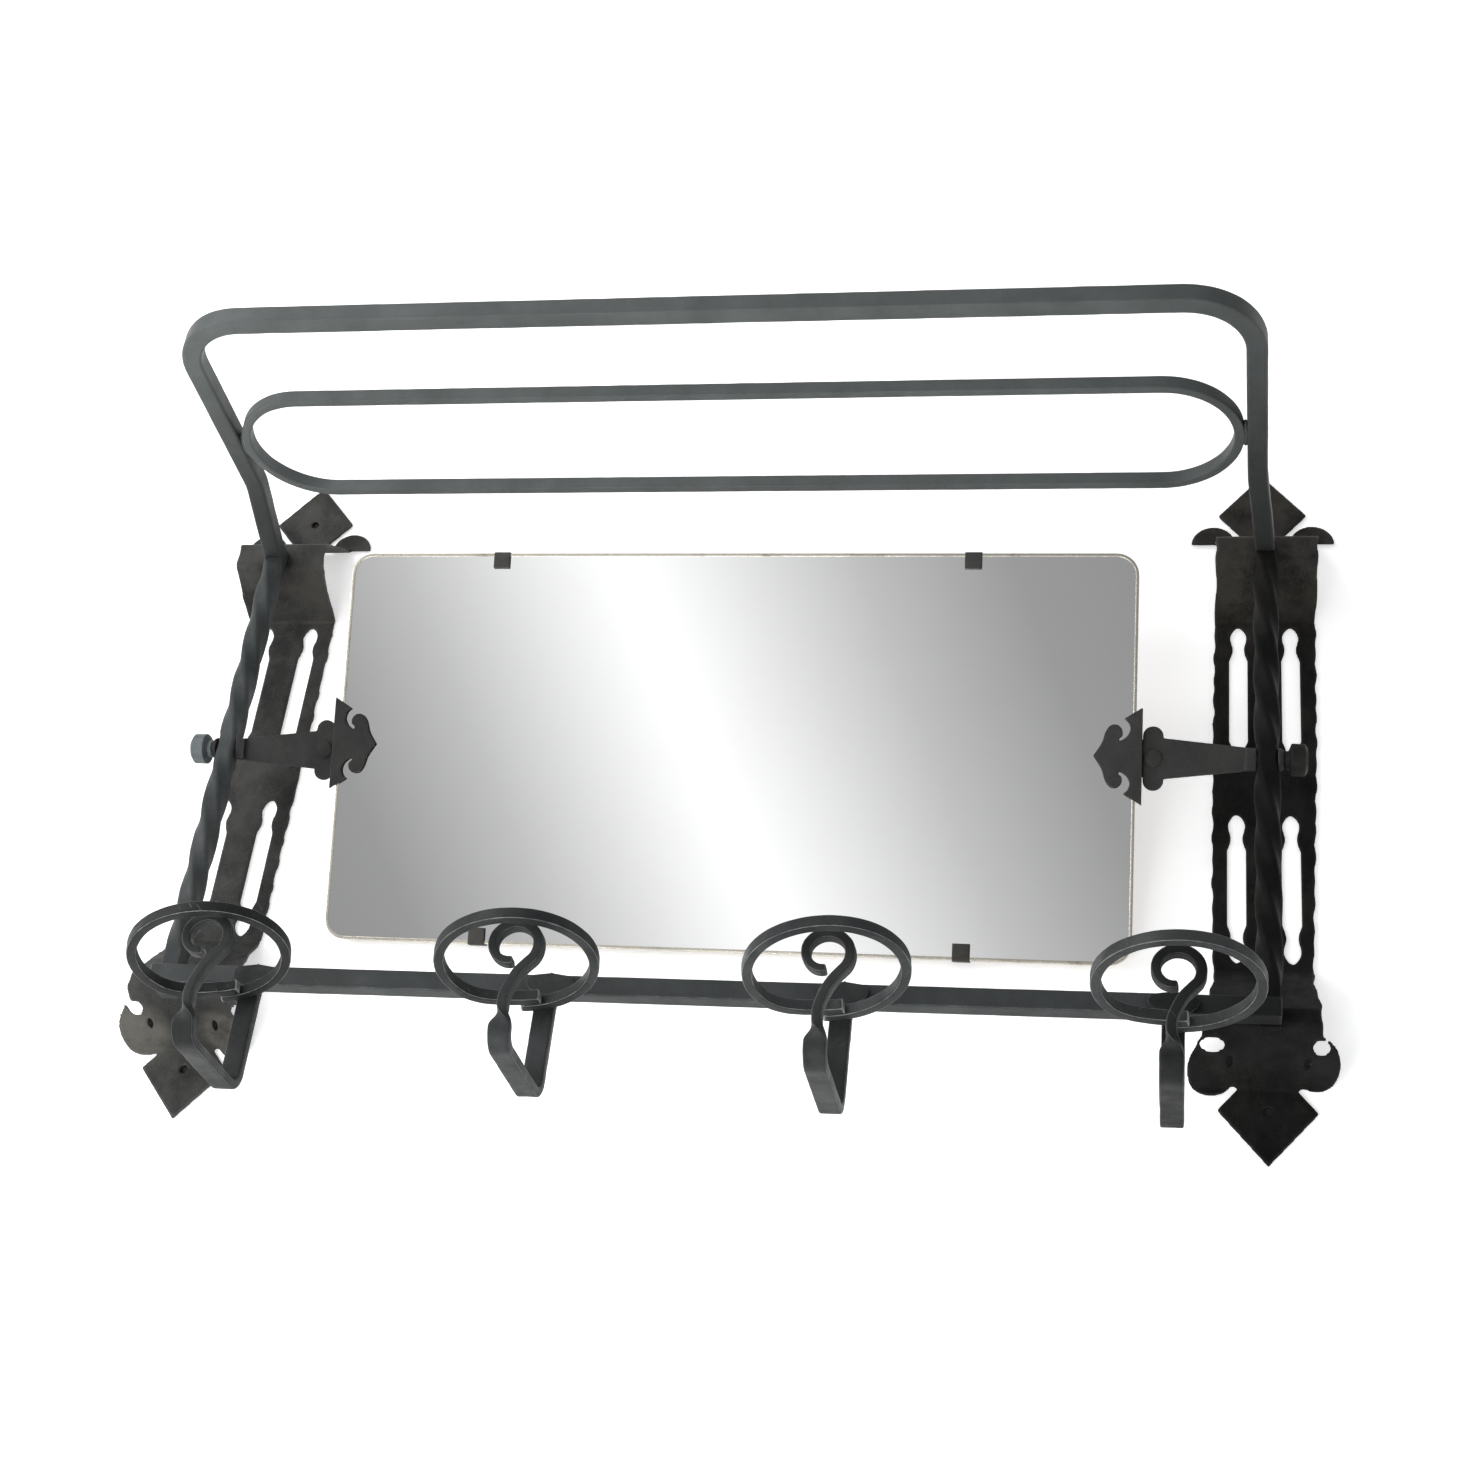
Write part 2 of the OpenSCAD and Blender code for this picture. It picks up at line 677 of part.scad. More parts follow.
module hat_oval() {
    end_x = oval_half_l - oval_depth / 2;
    n = 32;
    line_r = (oval_depth - oval_t) / 2;
    outer = [for (i = [0 : n]) [end_x + (line_r + oval_t / 2) * cos(180 * i / n - 90),
        (line_r + oval_t / 2) * sin(180 * i / n - 90)]];
    inner = [for (i = [0 : n]) [end_x + (line_r - oval_t / 2) * cos(180 * i / n - 90),
        (line_r - oval_t / 2) * sin(180 * i / n - 90)]];
    weld = [
        [arm_inner_x(oval_y - oval_weld_l / 2), -oval_weld_l / 2],
        [arm_inner_x(oval_y + oval_weld_l / 2), oval_weld_l / 2],
        [oval_half_l - oval_t / 2, oval_weld_l / 2],
        [oval_half_l - oval_t / 2, -oval_weld_l / 2]
    ];
    color(worn_iron) shelf_level() translate([0, oval_y, -oval_drop - oval_h / 2]) linear_extrude(oval_h) {
        difference() {
            polygon(concat(outer, mirrored(outer)));
            polygon(concat(inner, mirrored(inner)));
        }
        polygon(weld);
        polygon(mirrored(weld));
    }
}

// Lower bar

module lower_bar() {
    half = plate_x + bar / 2;
    color(iron) translate([-half, -bar_front, bar_z - bar / 2]) cube([2 * half, bar, bar]);
}

// Rings

ring_turn = 360 + ring_lap;
ring_outer_r = ring_r + ring_t;
function ease(t) = let (u = min(max(t, 0), 1)) u * u * (3 - 2 * u);
function ring_line_r(a) = ring_r + ring_t / 2 - (ring_t + ring_gap) * (1 - ease((a - ring_lap) / ring_swing));

// The bar starts behind, swings outwards, runs round the left and the front, and laps behind its own start
module ring(i) {
    n = 72;
    line = [for (k = [0 : n]) let (a = ring_turn * k / n)
        ring_line_r(a) * [cos(90 - ring_lap / 2 + a), sin(90 - ring_lap / 2 + a)]];
    color(iron) translate([ring_x[i], -leg_front, bar_z - ring_drop]) difference() {
        translate([0, ring_seat, 0]) rotate([-ring_tilts[i], 0, 0]) rotate([0, -ring_rolls[i], 0]) {
            translate([0, -ring_outer_r, 0]) linear_extrude(ring_h) polygon(band(line, ring_t));
        }
        translate([-hook_w, 0, -ring_h]) cube([2 * hook_w, hook_t, 3 * ring_h]);
    }
}

module ring_1() ring(0);

module ring_2() ring(1);

module ring_3() ring(2);

module ring_4() ring(3);

// Hooks

leaf_z = bar_z + bar / 2 + leaf_rise - leaf_h;
function leg_line_z(i) = bar_z - hook_depth * hook_depth_shares[i] + hook_t / 2;
function twist_z(i) = leg_line_z(i) + hook_bend_r;
function stem_z(i) = twist_z(i) + hook_neck_h;

module hook_legs(i) {
    across(hook_w) polygon(band(rounded([
        [leg_y, leaf_z + leaf_h / 2],
        [leg_y, leg_line_z(i)],
        [front_leg_y, leg_line_z(i)],
        [front_leg_y, twist_z(i)]
    ], hook_bend_r - lap, 8), hook_t));
}

module hook_leaf() {
    half = curve(sized(leaf_shares, leaf_w / 2, leaf_h), 3);
    translate([0, -bar_front, leaf_z]) upright(leaf_t) polygon(concat(half, mirrored(half)));
}

// The bar turns by a quarter and narrows to the width of the scroll
module hook_twist(i) {
    translate([0, front_leg_y, twist_z(i)]) {
        linear_extrude(hook_neck_h, twist = 90, scale = [1, scroll_w / hook_w], slices = 8, segments = 8) {
            square([hook_w, hook_t], center = true);
        }
    }
}

// The scroll rises from the stem on the right, runs over the top and curls in on itself
function scroll_line_r(a, r) = r * (1 - 0.5 * pow(max(a - 150, 0) / 160, 1.4));
module hook_scroll(i) {
    n = 36;
    r = scroll_r * scroll_r_shares[i];
    centre = [scroll_x + scroll_r - r, bar_z - scroll_drop * scroll_drop_shares[i]];
    curl = [for (k = [0 : n]) let (a = 305 * k / n - 35) scroll_line_r(a, r) * [cos(a), sin(a)] + centre];
    first = curl[0];
    foot = stem_z(i);
    rise = first[1] - foot;
    stem = [[0, foot - lap], [0, foot + 0.3 * rise], [first[0] * 0.42, foot + 0.72 * rise]];
    translate([0, front_leg_y + scroll_w / 2, 0]) upright(scroll_w) {
        polygon(band(concat(curve(concat(stem, [first]), 5), [for (k = [1 : n]) curl[k]]), hook_t));
    }
}

module hook(i) {
    color(iron) translate([hook_x[i], 0, 0]) {
        hook_legs(i);
        hook_leaf();
        hook_twist(i);
        hook_scroll(i);
    }
}

module hook_1() hook(0);

module hook_2() hook(1);

module hook_3() hook(2);

module hook_4() hook(3);

// Everything that tilts is drawn with the pivot axis along X through the origin
module tilted() {
    translate([0, -post_standoff, pivot_z]) rotate([mirror_tilt, 0, 0]) children();
}

// The glass and all that holds it sit a little high and askew on the arms
module seated() {
    tilted() translate([0, 0, mirror_rise]) rotate([0, mirror_roll, 0]) children();
}

module rounded_sheet(inset) {
    x = mirror_w / 2 - inset;
    z = mirror_h / 2 - inset;
    corners = [[0, z], [x, z], [x, -z], [-x, -z], [-x, z], [0, z]];
    polygon(rounded(corners, mirror_corner_r - inset, 8));
}

module mirror_glass() {
    color(glass) seated() upright(glass_t) rounded_sheet(rim_t);
}

module mirror_backing() {
    color(board) seated() translate([0, backing_t, 0]) upright(backing_t) rounded_sheet(rim_t);
}

module mirror_rim() {
    color(rim_metal) seated() translate([0, rim_back, 0]) difference() {
        upright(rim_back - rim_front) rounded_sheet(0);
        translate([0, -rim_t, 0]) upright(glass_t + backing_t) rounded_sheet(rim_t);
        translate([0, cut, 0]) upright(rim_back - rim_front + 2 * cut) rounded_sheet(rim_t + rim_lip);
    }
}

// Clip bent round the rim, on the upper or the lower edge
module clip(x, up) {
    edge = mirror_h / 2;
    depth = rim_back - rim_front;
    color(iron) seated() translate([x, 0, 0]) mirror([0, 0, up ? 0 : 1]) across(clip_w) {
        difference() {
            translate([rim_front - clip_t, edge - clip_l]) square([depth + 2 * clip_t, clip_l + clip_t]);
            translate([rim_front, edge - clip_l - cut]) square([depth, clip_l + cut]);
        }
    }
}

clip_x = clip_share * mirror_w / 2;

module clip_top_left() clip(-clip_x, true);

module clip_top_right() clip(clip_x, true);

module clip_bottom_left() clip(-clip_x, false);

module clip_bottom_right() clip(clip_x, false);

// Clasp: lily jaw on the glass, block beside the edge, rear jaw that runs out behind the arm

lobe_end_x = jaw_x + 2 * arm_lobe_r + run_gap;
rivet_x = jaw_x + arm_lobe_r + run_gap;

module lily() {
    right = concat([[0, lily_half_h]], curve(sized(lily_shares, lily_l, lily_half_h), 4));
    points = concat(right, flipped(right));
    translate([jaw_x, 0]) mirror([1, 0]) polygon(points);
}

module jaws() {
    translate([0, jaw_front + jaw_t, 0]) upright(jaw_t) lily();
    translate([mirror_w / 2, jaw_front, -jaw_half_h]) {
        cube([jaw_block_w, jaw_back - jaw_front, 2 * jaw_half_h]);
    }
    translate([jaw_x - lily_l, rim_back, -jaw_half_h]) cube([lily_l, jaw_t, 2 * jaw_half_h]);
    translate([mirror_w / 2, arm_t / 2, -jaw_half_h]) {
        cube([lobe_end_x - mirror_w / 2, jaw_back - arm_t / 2, 2 * jaw_half_h]);
    }
}

// The rivet stands on the arm's own line, the jaws on the mirror's
module rivet_hole() {
    translate([rivet_x, jaw_back + cut, 0]) rotate([90, 0, 0]) {
        cylinder(h = jaw_back - jaw_front + 2 * cut, d = arm_rivet_d + 2 * pin_play);
    }
}

module right_clasp() {
    color(worn_iron) difference() {
        seated() jaws();
        tilted() rivet_hole();
    }
}

module left_clasp() {
    color(worn_iron) difference() {
        seated() mirror([1, 0, 0]) jaws();
        tilted() mirror([1, 0, 0]) rivet_hole();
    }
}

// Arm: lobed root, tapered strap, thick heel and the pivot pin through the post

module arm_outline() {
    root_x = jaw_x + run_gap;
    translate([root_x, -arm_root_half_h]) square([2 * arm_lobe_r, 2 * arm_root_half_h]);
    for (z = [-arm_lobe_z, arm_lobe_z]) {
        translate([rivet_x, z]) circle(arm_lobe_r);
    }
    polygon([
        [root_x + arm_lobe_r, arm_root_half_h],
        [heel_x, arm_half_h],
        [heel_x, -arm_half_h],
        [root_x + arm_lobe_r, -arm_root_half_h]
    ]);
}

module arm() {
    pin_end = plate_x + bar / 2 + collar_t + run_gap + neck_l + knob_l / 2;
    color(worn_iron) tilted() {
        difference() {
            translate([0, arm_t / 2, 0]) upright(arm_t) arm_outline();
            rivet_hole();
        }
        translate([heel_x - arm_heel_l, -arm_heel_half_d, -arm_half_h]) {
            cube([arm_heel_l, 2 * arm_heel_half_d, 2 * arm_half_h]);
        }
        along_x(heel_x - arm_heel_l / 2, pin_end - heel_x + arm_heel_l / 2, pin_d / 2);
    }
}

module right_arm() {
    arm();
}

module left_arm() {
    mirror([1, 0, 0]) arm();
}

module arm_rivet() {
    length = arm_t / 2 + jaw_back;
    color(iron) tilted() translate([rivet_x, jaw_back, 0]) rotate([90, 0, 0]) {
        cylinder(h = length, d = arm_rivet_d);
        translate([0, 0, length]) cylinder(h = rivet_head_h, r1 = arm_rivet_r, r2 = arm_rivet_r * 0.8);
    }
}

module right_arm_rivet() {
    arm_rivet();
}

module left_arm_rivet() {
    mirror([1, 0, 0]) arm_rivet();
}

// Collar and knob outside each post

collar_x = plate_x + bar / 2;
knob_x = collar_x + collar_t + run_gap;

module collar() {
    color(worn_iron) translate([collar_x, -post_standoff, pivot_z]) rotate([0, 90, 0]) difference() {
        cylinder(h = collar_t, r1 = collar_r, r2 = collar_top_r);
        translate([0, 0, -cut]) cylinder(h = collar_t + 2 * cut, r = pin_d / 2 + pin_play);
    }
}

module right_collar() {
    collar();
}

module left_collar() {
    mirror([1, 0, 0]) collar();
}

module knob() {
    bore_l = neck_l + knob_l / 2 + run_gap;
    color(worn_iron) translate([knob_x, -post_standoff, pivot_z]) rotate([0, 90, 0]) difference() {
        union() {
            cylinder(h = neck_l, r = neck_r);
            translate([0, 0, neck_l]) cylinder(h = knob_chamfer, r1 = neck_r, r2 = knob_r);
            translate([0, 0, neck_l + knob_chamfer]) cylinder(h = knob_l - 2 * knob_chamfer, r = knob_r);
            translate([0, 0, neck_l + knob_l - knob_chamfer]) {
                cylinder(h = knob_chamfer, r1 = knob_r, r2 = knob_r - 1.5 * knob_chamfer);
            }
        }
        translate([0, 0, -cut]) cylinder(h = bore_l + cut, r = pin_d / 2 + pin_play);
    }
}

module right_knob() {
    knob();
}

module left_knob() {
    mirror([1, 0, 0]) knob();
}

left_wall_plate();
right_wall_plate();
left_post();
right_post();
hat_rail();
hat_oval();
lower_bar();
ring_1();
ring_2();
ring_3();
ring_4();
hook_1();
hook_2();
hook_3();
hook_4();
left_collar();
right_collar();
mirror_glass();
mirror_backing();
mirror_rim();
clip_top_left();
clip_top_right();
clip_bottom_left();
clip_bottom_right();
left_clasp();
right_clasp();
left_arm();
right_arm();
left_arm_rivet();
right_arm_rivet();
left_knob();
right_knob();
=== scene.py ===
import json
import bpy
import bmesh
import numpy as np
from mathutils import Matrix, Vector

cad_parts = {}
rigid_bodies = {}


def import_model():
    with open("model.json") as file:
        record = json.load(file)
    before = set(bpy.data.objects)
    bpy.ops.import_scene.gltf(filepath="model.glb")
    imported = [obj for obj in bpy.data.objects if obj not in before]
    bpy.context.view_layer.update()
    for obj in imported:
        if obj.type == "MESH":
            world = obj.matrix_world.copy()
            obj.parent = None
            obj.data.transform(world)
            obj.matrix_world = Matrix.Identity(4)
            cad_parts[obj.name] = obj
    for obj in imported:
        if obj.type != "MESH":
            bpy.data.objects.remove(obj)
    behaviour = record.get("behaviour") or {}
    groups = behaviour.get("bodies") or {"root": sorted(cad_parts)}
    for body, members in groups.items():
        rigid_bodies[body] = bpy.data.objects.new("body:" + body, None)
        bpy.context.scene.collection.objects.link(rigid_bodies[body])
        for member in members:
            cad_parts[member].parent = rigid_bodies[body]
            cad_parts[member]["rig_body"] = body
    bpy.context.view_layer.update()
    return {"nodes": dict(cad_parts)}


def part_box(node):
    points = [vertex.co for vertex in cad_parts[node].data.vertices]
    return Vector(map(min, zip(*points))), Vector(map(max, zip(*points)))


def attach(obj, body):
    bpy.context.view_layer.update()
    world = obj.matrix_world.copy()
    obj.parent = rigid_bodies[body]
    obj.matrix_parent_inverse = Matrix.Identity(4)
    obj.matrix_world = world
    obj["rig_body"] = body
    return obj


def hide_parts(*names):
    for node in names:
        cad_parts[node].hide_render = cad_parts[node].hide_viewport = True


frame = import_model()

# Camera, at the angle of the photograph

cameraSettings = {
    "place": (0.3742, -1.6632, -0.9347),
    "right": (0.98046, 0.16479, 0.10770),
    "forward": (-0.19671, 0.84224, 0.50192),
    "lens": 57.35,
    "sensor": 36.0,
}


def makeCamera(s):
    data = bpy.data.cameras.new("camera")
    data.lens, data.sensor_width = s["lens"], s["sensor"]
    data.clip_start, data.clip_end = 0.01, 100
    camera = bpy.data.objects.new("camera", data)
    bpy.context.scene.collection.objects.link(camera)
    right = Vector(s["right"]).normalized()
    forward = Vector(s["forward"])
    forward = (forward - forward.dot(right) * right).normalized()
    turn = Matrix((right, right.cross(forward), -forward)).transposed()
    camera.matrix_world = Matrix.Translation(s["place"]) @ turn.to_4x4()
    bpy.context.scene.camera = camera


makeCamera(cameraSettings)
print("camera: placed")

# Tools for surfaces worked out on a grid


def unit(v):
    return v / np.linalg.norm(v, axis=-1, keepdims=True)


def smoothStep(t):
    t = np.clip(t, 0, 1)
    return t * t * (3 - 2 * t)


def lumps(points, size, seed):
    # value noise from 0 to 1: random numbers on a lattice, blended between its corners with a smooth step
    table = np.random.default_rng(seed).random(4096)
    place = points / size
    cell = np.floor(place).astype(np.int64)
    share = smoothStep(place - cell)
    total = np.zeros(points.shape[:-1])
    for corner in np.ndindex(2, 2, 2):
        c = cell + np.array(corner)
        key = (c[..., 0] * 73856093 ^ c[..., 1] * 19349663 ^ c[..., 2] * 83492791) % 4096
        total += np.where(np.array(corner) == 1, share, 1 - share).prod(-1) * table[key]
    return total


def roundCorners(points, radius, steps, closed=False):
    # each corner of a line becomes an arc, tangent to both of its sides
    points = np.asarray(points, float)
    count = len(points)
    parts = [] if closed else [points[:1]]
    for i in range(count) if closed else range(1, count - 1):
        corner = points[i]
        u, v = unit(points[i - 1] - corner), unit(points[(i + 1) % count] - corner)
        half = np.arccos(np.clip(u @ v, -1, 1)) / 2
        centre = corner + unit(u + v) * radius / np.sin(half)
        a, b = corner + u * radius / np.tan(half) - centre, corner + v * radius / np.tan(half) - centre
        sweep = np.pi - 2 * half
        t = np.linspace(0, 1, steps + 1)[:, None]
        parts.append(centre + (np.sin((1 - t) * sweep) * a + np.sin(t * sweep) * b) / np.sin(sweep))
    if not closed:
        parts.append(points[-1:])
    return np.concatenate(parts)


def throughPoints(points, steps):
    # Catmull-Rom curve: a cubic in t between each two points, with the slope of its neighbours' chord
    p = np.asarray(points, float)
    p = np.concatenate([p[:1], p, p[-1:]])
    t = (np.arange(steps) / steps)[None, :, None]
    a, b, c, d = (p[k:len(p) - 3 + k][:, None] for k in range(4))
    curve = 0.5 * (2 * b + (c - a) * t + (2 * a - 5 * b + 4 * c - d) * t ** 2
                   + (3 * b - a - 3 * c + d) * t ** 3)
    return np.concatenate([curve.reshape(-1, p.shape[1]), p[-2:-1]])


def evenly(path, step, closed=False):
    # the same line with its points a near equal distance apart
    line = np.concatenate([path, path[:1]]) if closed else path
    along = np.concatenate([[0], np.cumsum(np.linalg.norm(np.diff(line, axis=0), axis=1))])
    count = max(int(round(along[-1] / step)), 2)
    at = np.linspace(0, along[-1], count + 1)
    out = np.stack([np.interp(at, along, line[:, k]) for k in range(line.shape[1])], -1)
    return out[:-1] if closed else out


def distanceAlong(path):
    return np.concatenate([[0], np.cumsum(np.linalg.norm(np.diff(path, axis=0), axis=1))])


def tangents(path, closed=False):
    if closed:
        return unit(np.roll(path, -1, 0) - np.roll(path, 1, 0))
    return unit(np.gradient(path, axis=0))


def squareTo(direction, tangent):
    direction = np.broadcast_to(direction, tangent.shape)
    return unit(direction - (direction * tangent).sum(-1, keepdims=True) * tangent)


def barSection(width, height, radius, sideSteps, cornerSteps):
    # rectangle with round corners, one for each station; edge is 1 at a corner's tip and fades fast from it
    sizes = [np.atleast_1d(np.asarray(v, float))[:, None, None] for v in (width, height, radius)]
    width, height, radius = sizes
    signs = np.array([(1, 1), (-1, 1), (-1, -1), (1, -1)], float)
    turn = np.radians(90 * np.arange(4)[:, None] + np.linspace(0, 90, cornerSteps + 1)[None])
    middle = np.stack([signs[None, :, None, 0] * (width / 2 - radius),
                       signs[None, :, None, 1] * (height / 2 - radius)], -1)
    arcs = middle + radius[..., None] * np.stack([np.cos(turn), np.sin(turn)], -1)[None]
    t = (np.arange(1, sideSteps) / sideSteps)[None, None, :, None]
    ends, starts = arcs[:, :, -1:], np.roll(arcs[:, :, :1], -1, axis=1)
    section = np.concatenate([arcs, ends + (starts - ends) * t], 2)
    section = section.reshape(len(section), -1, 2)
    tips = (middle + radius[..., None] * signs[None, :, None] * np.sqrt(0.5)).reshape(len(middle), 1, -1, 2)
    near = np.linalg.norm(section[:, :, None] - tips, axis=-1).min(-1)
    return section, np.exp(-(near / (0.75 * radius[..., 0] + 1e-9)) ** 2)


def sectionNormals(section):
    ahead = np.roll(section, -1, 1) - np.roll(section, 1, 1)
    return unit(np.stack([ahead[..., 1], -ahead[..., 0]], -1))


def carry(path, across, up, section, edge, closed=False, endRadius=0.0015):
    # a section carried along a path: point = path + across * u + up * v; open ends are rounded over
    count = len(path)
    section = np.broadcast_to(section, (count,) + section.shape[1:])
    edge = np.broadcast_to(edge, (count, edge.shape[-1]))
    normal = sectionNormals(section)
    across, up = np.broadcast_to(across, path.shape), np.broadcast_to(up, path.shape)
    if not closed:
        turn = np.radians([90, 60, 30])
        inset, back = endRadius * (1 - np.cos(turn)), endRadius * np.sin(turn)
        tangent = tangents(path)
        far = distanceAlong(path)
        keep = (far > 1.2 * endRadius) & (far < far[-1] - 1.2 * endRadius)
        first = path[0] + tangent[0] * (endRadius - back)[:, None]
        last = path[-1] - tangent[-1] * (endRadius - back)[::-1, None]
        pick = np.concatenate([[0] * 3, np.nonzero(keep)[0], [count - 1] * 3])
        shrink = np.concatenate([inset, np.zeros(keep.sum()), inset[::-1]])[:, None, None]
        path = np.concatenate([first, path[keep], last])
        section, edge = section[pick] - normal[pick] * shrink, np.maximum(edge[pick], shrink[..., 0] > 0)
        normal, across, up = normal[pick], across[pick], up[pick]
    grid = path[:, None] + across[:, None] * section[..., :1] + up[:, None] * section[..., 1:]
    out = across[:, None] * normal[..., :1] + up[:, None] * normal[..., 1:]
    return {"grid": grid, "out": unit(out), "edge": np.array(edge, float), "closed": closed}


def dentDepth(points, size, fineShare, seed):
    # from 0 to 1: broad dents with smaller ones between them
    return 0.7 * lumps(points, size, seed) ** 1.5 + 0.3 * lumps(points, size * fineShare, seed + 1)


def hammered(part, depth, size, seed):
    # the skin is pushed in, never out
    p = part["grid"]
    low = dentDepth(p, size, 0.37, seed)
    part["grid"] = p - part["out"] * (depth * low)[..., None]
    return part


def gridFaces(part, first):
    n, m = part["grid"].shape[:2]
    i = np.arange(n if part["closed"] else n - 1)[:, None]
    j = np.arange(m)[None]
    ahead, beside = (i + 1) % n, (j + 1) % m
    quads = np.stack([i * m + j, i * m + beside, ahead * m + beside, ahead * m + j], -1).reshape(-1, 4)
    faces = (quads + first).tolist()
    if not part["closed"]:
        faces.append((np.arange(m)[::-1] + first).tolist())
        faces.append((np.arange(m) + first + (n - 1) * m).tolist())
    return faces


def addPiece(name, mesh, node, material, replaces=True):
    piece = bpy.data.objects.new(name, mesh)
    bpy.context.scene.collection.objects.link(piece)
    mesh.materials.clear()
    mesh.materials.append(material)
    mesh.shade_smooth()
    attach(piece, bodyOf[node])
    if replaces:
        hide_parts(node)
    return piece


def setEdge(mesh, edge):
    layer = mesh.attributes.new("edgeWear", "FLOAT", "POINT")
    layer.data.foreach_set("value", np.clip(edge, 0, 1).astype(np.float32))


def buildPiece(name, node, parts, material, replaces=True):
    points, faces, edges, first = [], [], [], 0
    for part in parts:
        faces += gridFaces(part, first)
        points.append(part["grid"].reshape(-1, 3))
        edges.append(part["edge"].reshape(-1))
        first += len(points[-1])
    mesh = bpy.data.meshes.new(name)
    mesh.from_pydata(np.concatenate(points).tolist(), [], faces)
    work = bmesh.new()
    work.from_mesh(mesh)
    bmesh.ops.recalc_face_normals(work, faces=work.faces)
    work.to_mesh(mesh)
    work.free()
    setEdge(mesh, np.concatenate(edges))
    return addPiece(name, mesh, node, material, replaces)


def forge(name, node, part, s, seed, material):
    buildPiece(name, node, [hammered(part, s["dents"], s["dentSize"], seed)], material)


bodyOf = {node: obj["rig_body"] for node, obj in frame["nodes"].items()}

# Shader groups that the finishes share


def put(tree, kind, props=None, inputs=None):
    node = tree.nodes.new(kind)
    for key, value in (props or {}).items():
        setattr(node, key, value)
    for key, value in (inputs or {}).items():
        if isinstance(value, bpy.types.NodeSocket):
            tree.links.new(value, node.inputs[key])
        else:
            node.inputs[key].default_value = value
    return node


def maths(tree, operation, a, b=0.0, clamp=False):
    node = put(tree, "ShaderNodeMath", {"operation": operation, "use_clamp": clamp}, {0: a, 1: b})
    return node.outputs[0]


def times(tree, a, b):
    return maths(tree, "MULTIPLY", a, b)


def plus(tree, a, b):
    return maths(tree, "ADD", a, b)


def remap(tree, value, low, high, newLow=0.0, newHigh=1.0):
    node = put(tree, "ShaderNodeMapRange", {"interpolation_type": "SMOOTHSTEP"},
               {0: value, 1: low, 2: high, 3: newLow, 4: newHigh})
    return node.outputs[0]


def blendColour(tree, share, a, b):
    node = put(tree, "ShaderNodeMix", {"data_type": "RGBA"}, {0: share, 6: a, 7: b})
    return node.outputs[2]


def noise(tree, vector, scale, detail=3.0, roughness=0.55):
    node = put(tree, "ShaderNodeTexNoise", None,
               {"Vector": vector, "Scale": scale, "Detail": detail, "Roughness": roughness})
    return node.outputs[0]


def mapped(tree, vector, inputs):
    return put(tree, "ShaderNodeMapping", None, {"Vector": vector, **inputs}).outputs[0]


def newGroup(name, inputs, outputs):
    group = bpy.data.node_groups.new(name, "ShaderNodeTree")
    for label, kind, value in inputs:
        socket = group.interface.new_socket(label, in_out="INPUT", socket_type="NodeSocket" + kind)
        if value is not None:
            socket.default_value = value
    for label in outputs:
        group.interface.new_socket(label, in_out="OUTPUT", socket_type="NodeSocketFloat")
    return group, group.nodes.new("NodeGroupInput").outputs, group.nodes.new("NodeGroupOutput").inputs


def makeHammerSkin():
    # Height: shallow facets with fine scale on them; Tone: cloudy lightness from 0 to 1
    group, given, result = newGroup("hammerSkin", [
        ("Vector", "Vector", None), ("Facets", "Float", 90.0), ("Grain", "Float", 900.0),
        ("Clouds", "Float", 22.0)], ["Height", "Tone"])
    swells = noise(group, given["Vector"], 60.0, 2.0)
    facets = put(group, "ShaderNodeTexVoronoi", {"feature": "SMOOTH_F1"},
                 {"Vector": given["Vector"], "Scale": given["Facets"], "Smoothness": 0.6})
    grain = noise(group, given["Vector"], given["Grain"], 4.0, 0.65)
    pitScale = times(group, given["Grain"], 0.35)
    pits = remap(group, noise(group, given["Vector"], pitScale), 0.62, 0.72)
    height = times(group, facets.outputs["Distance"], 0.55)
    height = plus(group, height, times(group, grain, 0.22))
    height = plus(group, height, times(group, swells, 0.3))
    height = maths(group, "SUBTRACT", height, times(group, pits, 0.14))
    group.links.new(height, result["Height"])
    clouds = noise(group, given["Vector"], given["Clouds"], 5.0, 0.62)
    tone = plus(group, times(group, clouds, 0.7), times(group, grain, 0.3))
    group.links.new(remap(group, tone, 0.32, 0.68), result["Tone"])
    return group


def makeEdgeRub():
    # Mask: where hands and cloth have rubbed the edges, broken up by noise
    group, given, result = newGroup("edgeRub", [
        ("Vector", "Vector", None), ("Edge", "Float", 0.0), ("Amount", "Float", 0.5),
        ("Breakup", "Float", 70.0)], ["Mask"])
    broken = noise(group, given["Vector"], given["Breakup"], 4.0, 0.7)
    fine = noise(group, given["Vector"], times(group, given["Breakup"], 6.0), 2.0)
    push = plus(group, times(group, broken, 0.8), times(group, fine, 0.25))
    sharp = maths(group, "POWER", given["Edge"], 2.5)
    rub = maths(group, "SUBTRACT", plus(group, sharp, push), 1.12)
    mask = remap(group, rub, 0.0, 0.45)
    group.links.new(times(group, mask, given["Amount"]), result["Mask"])
    return group


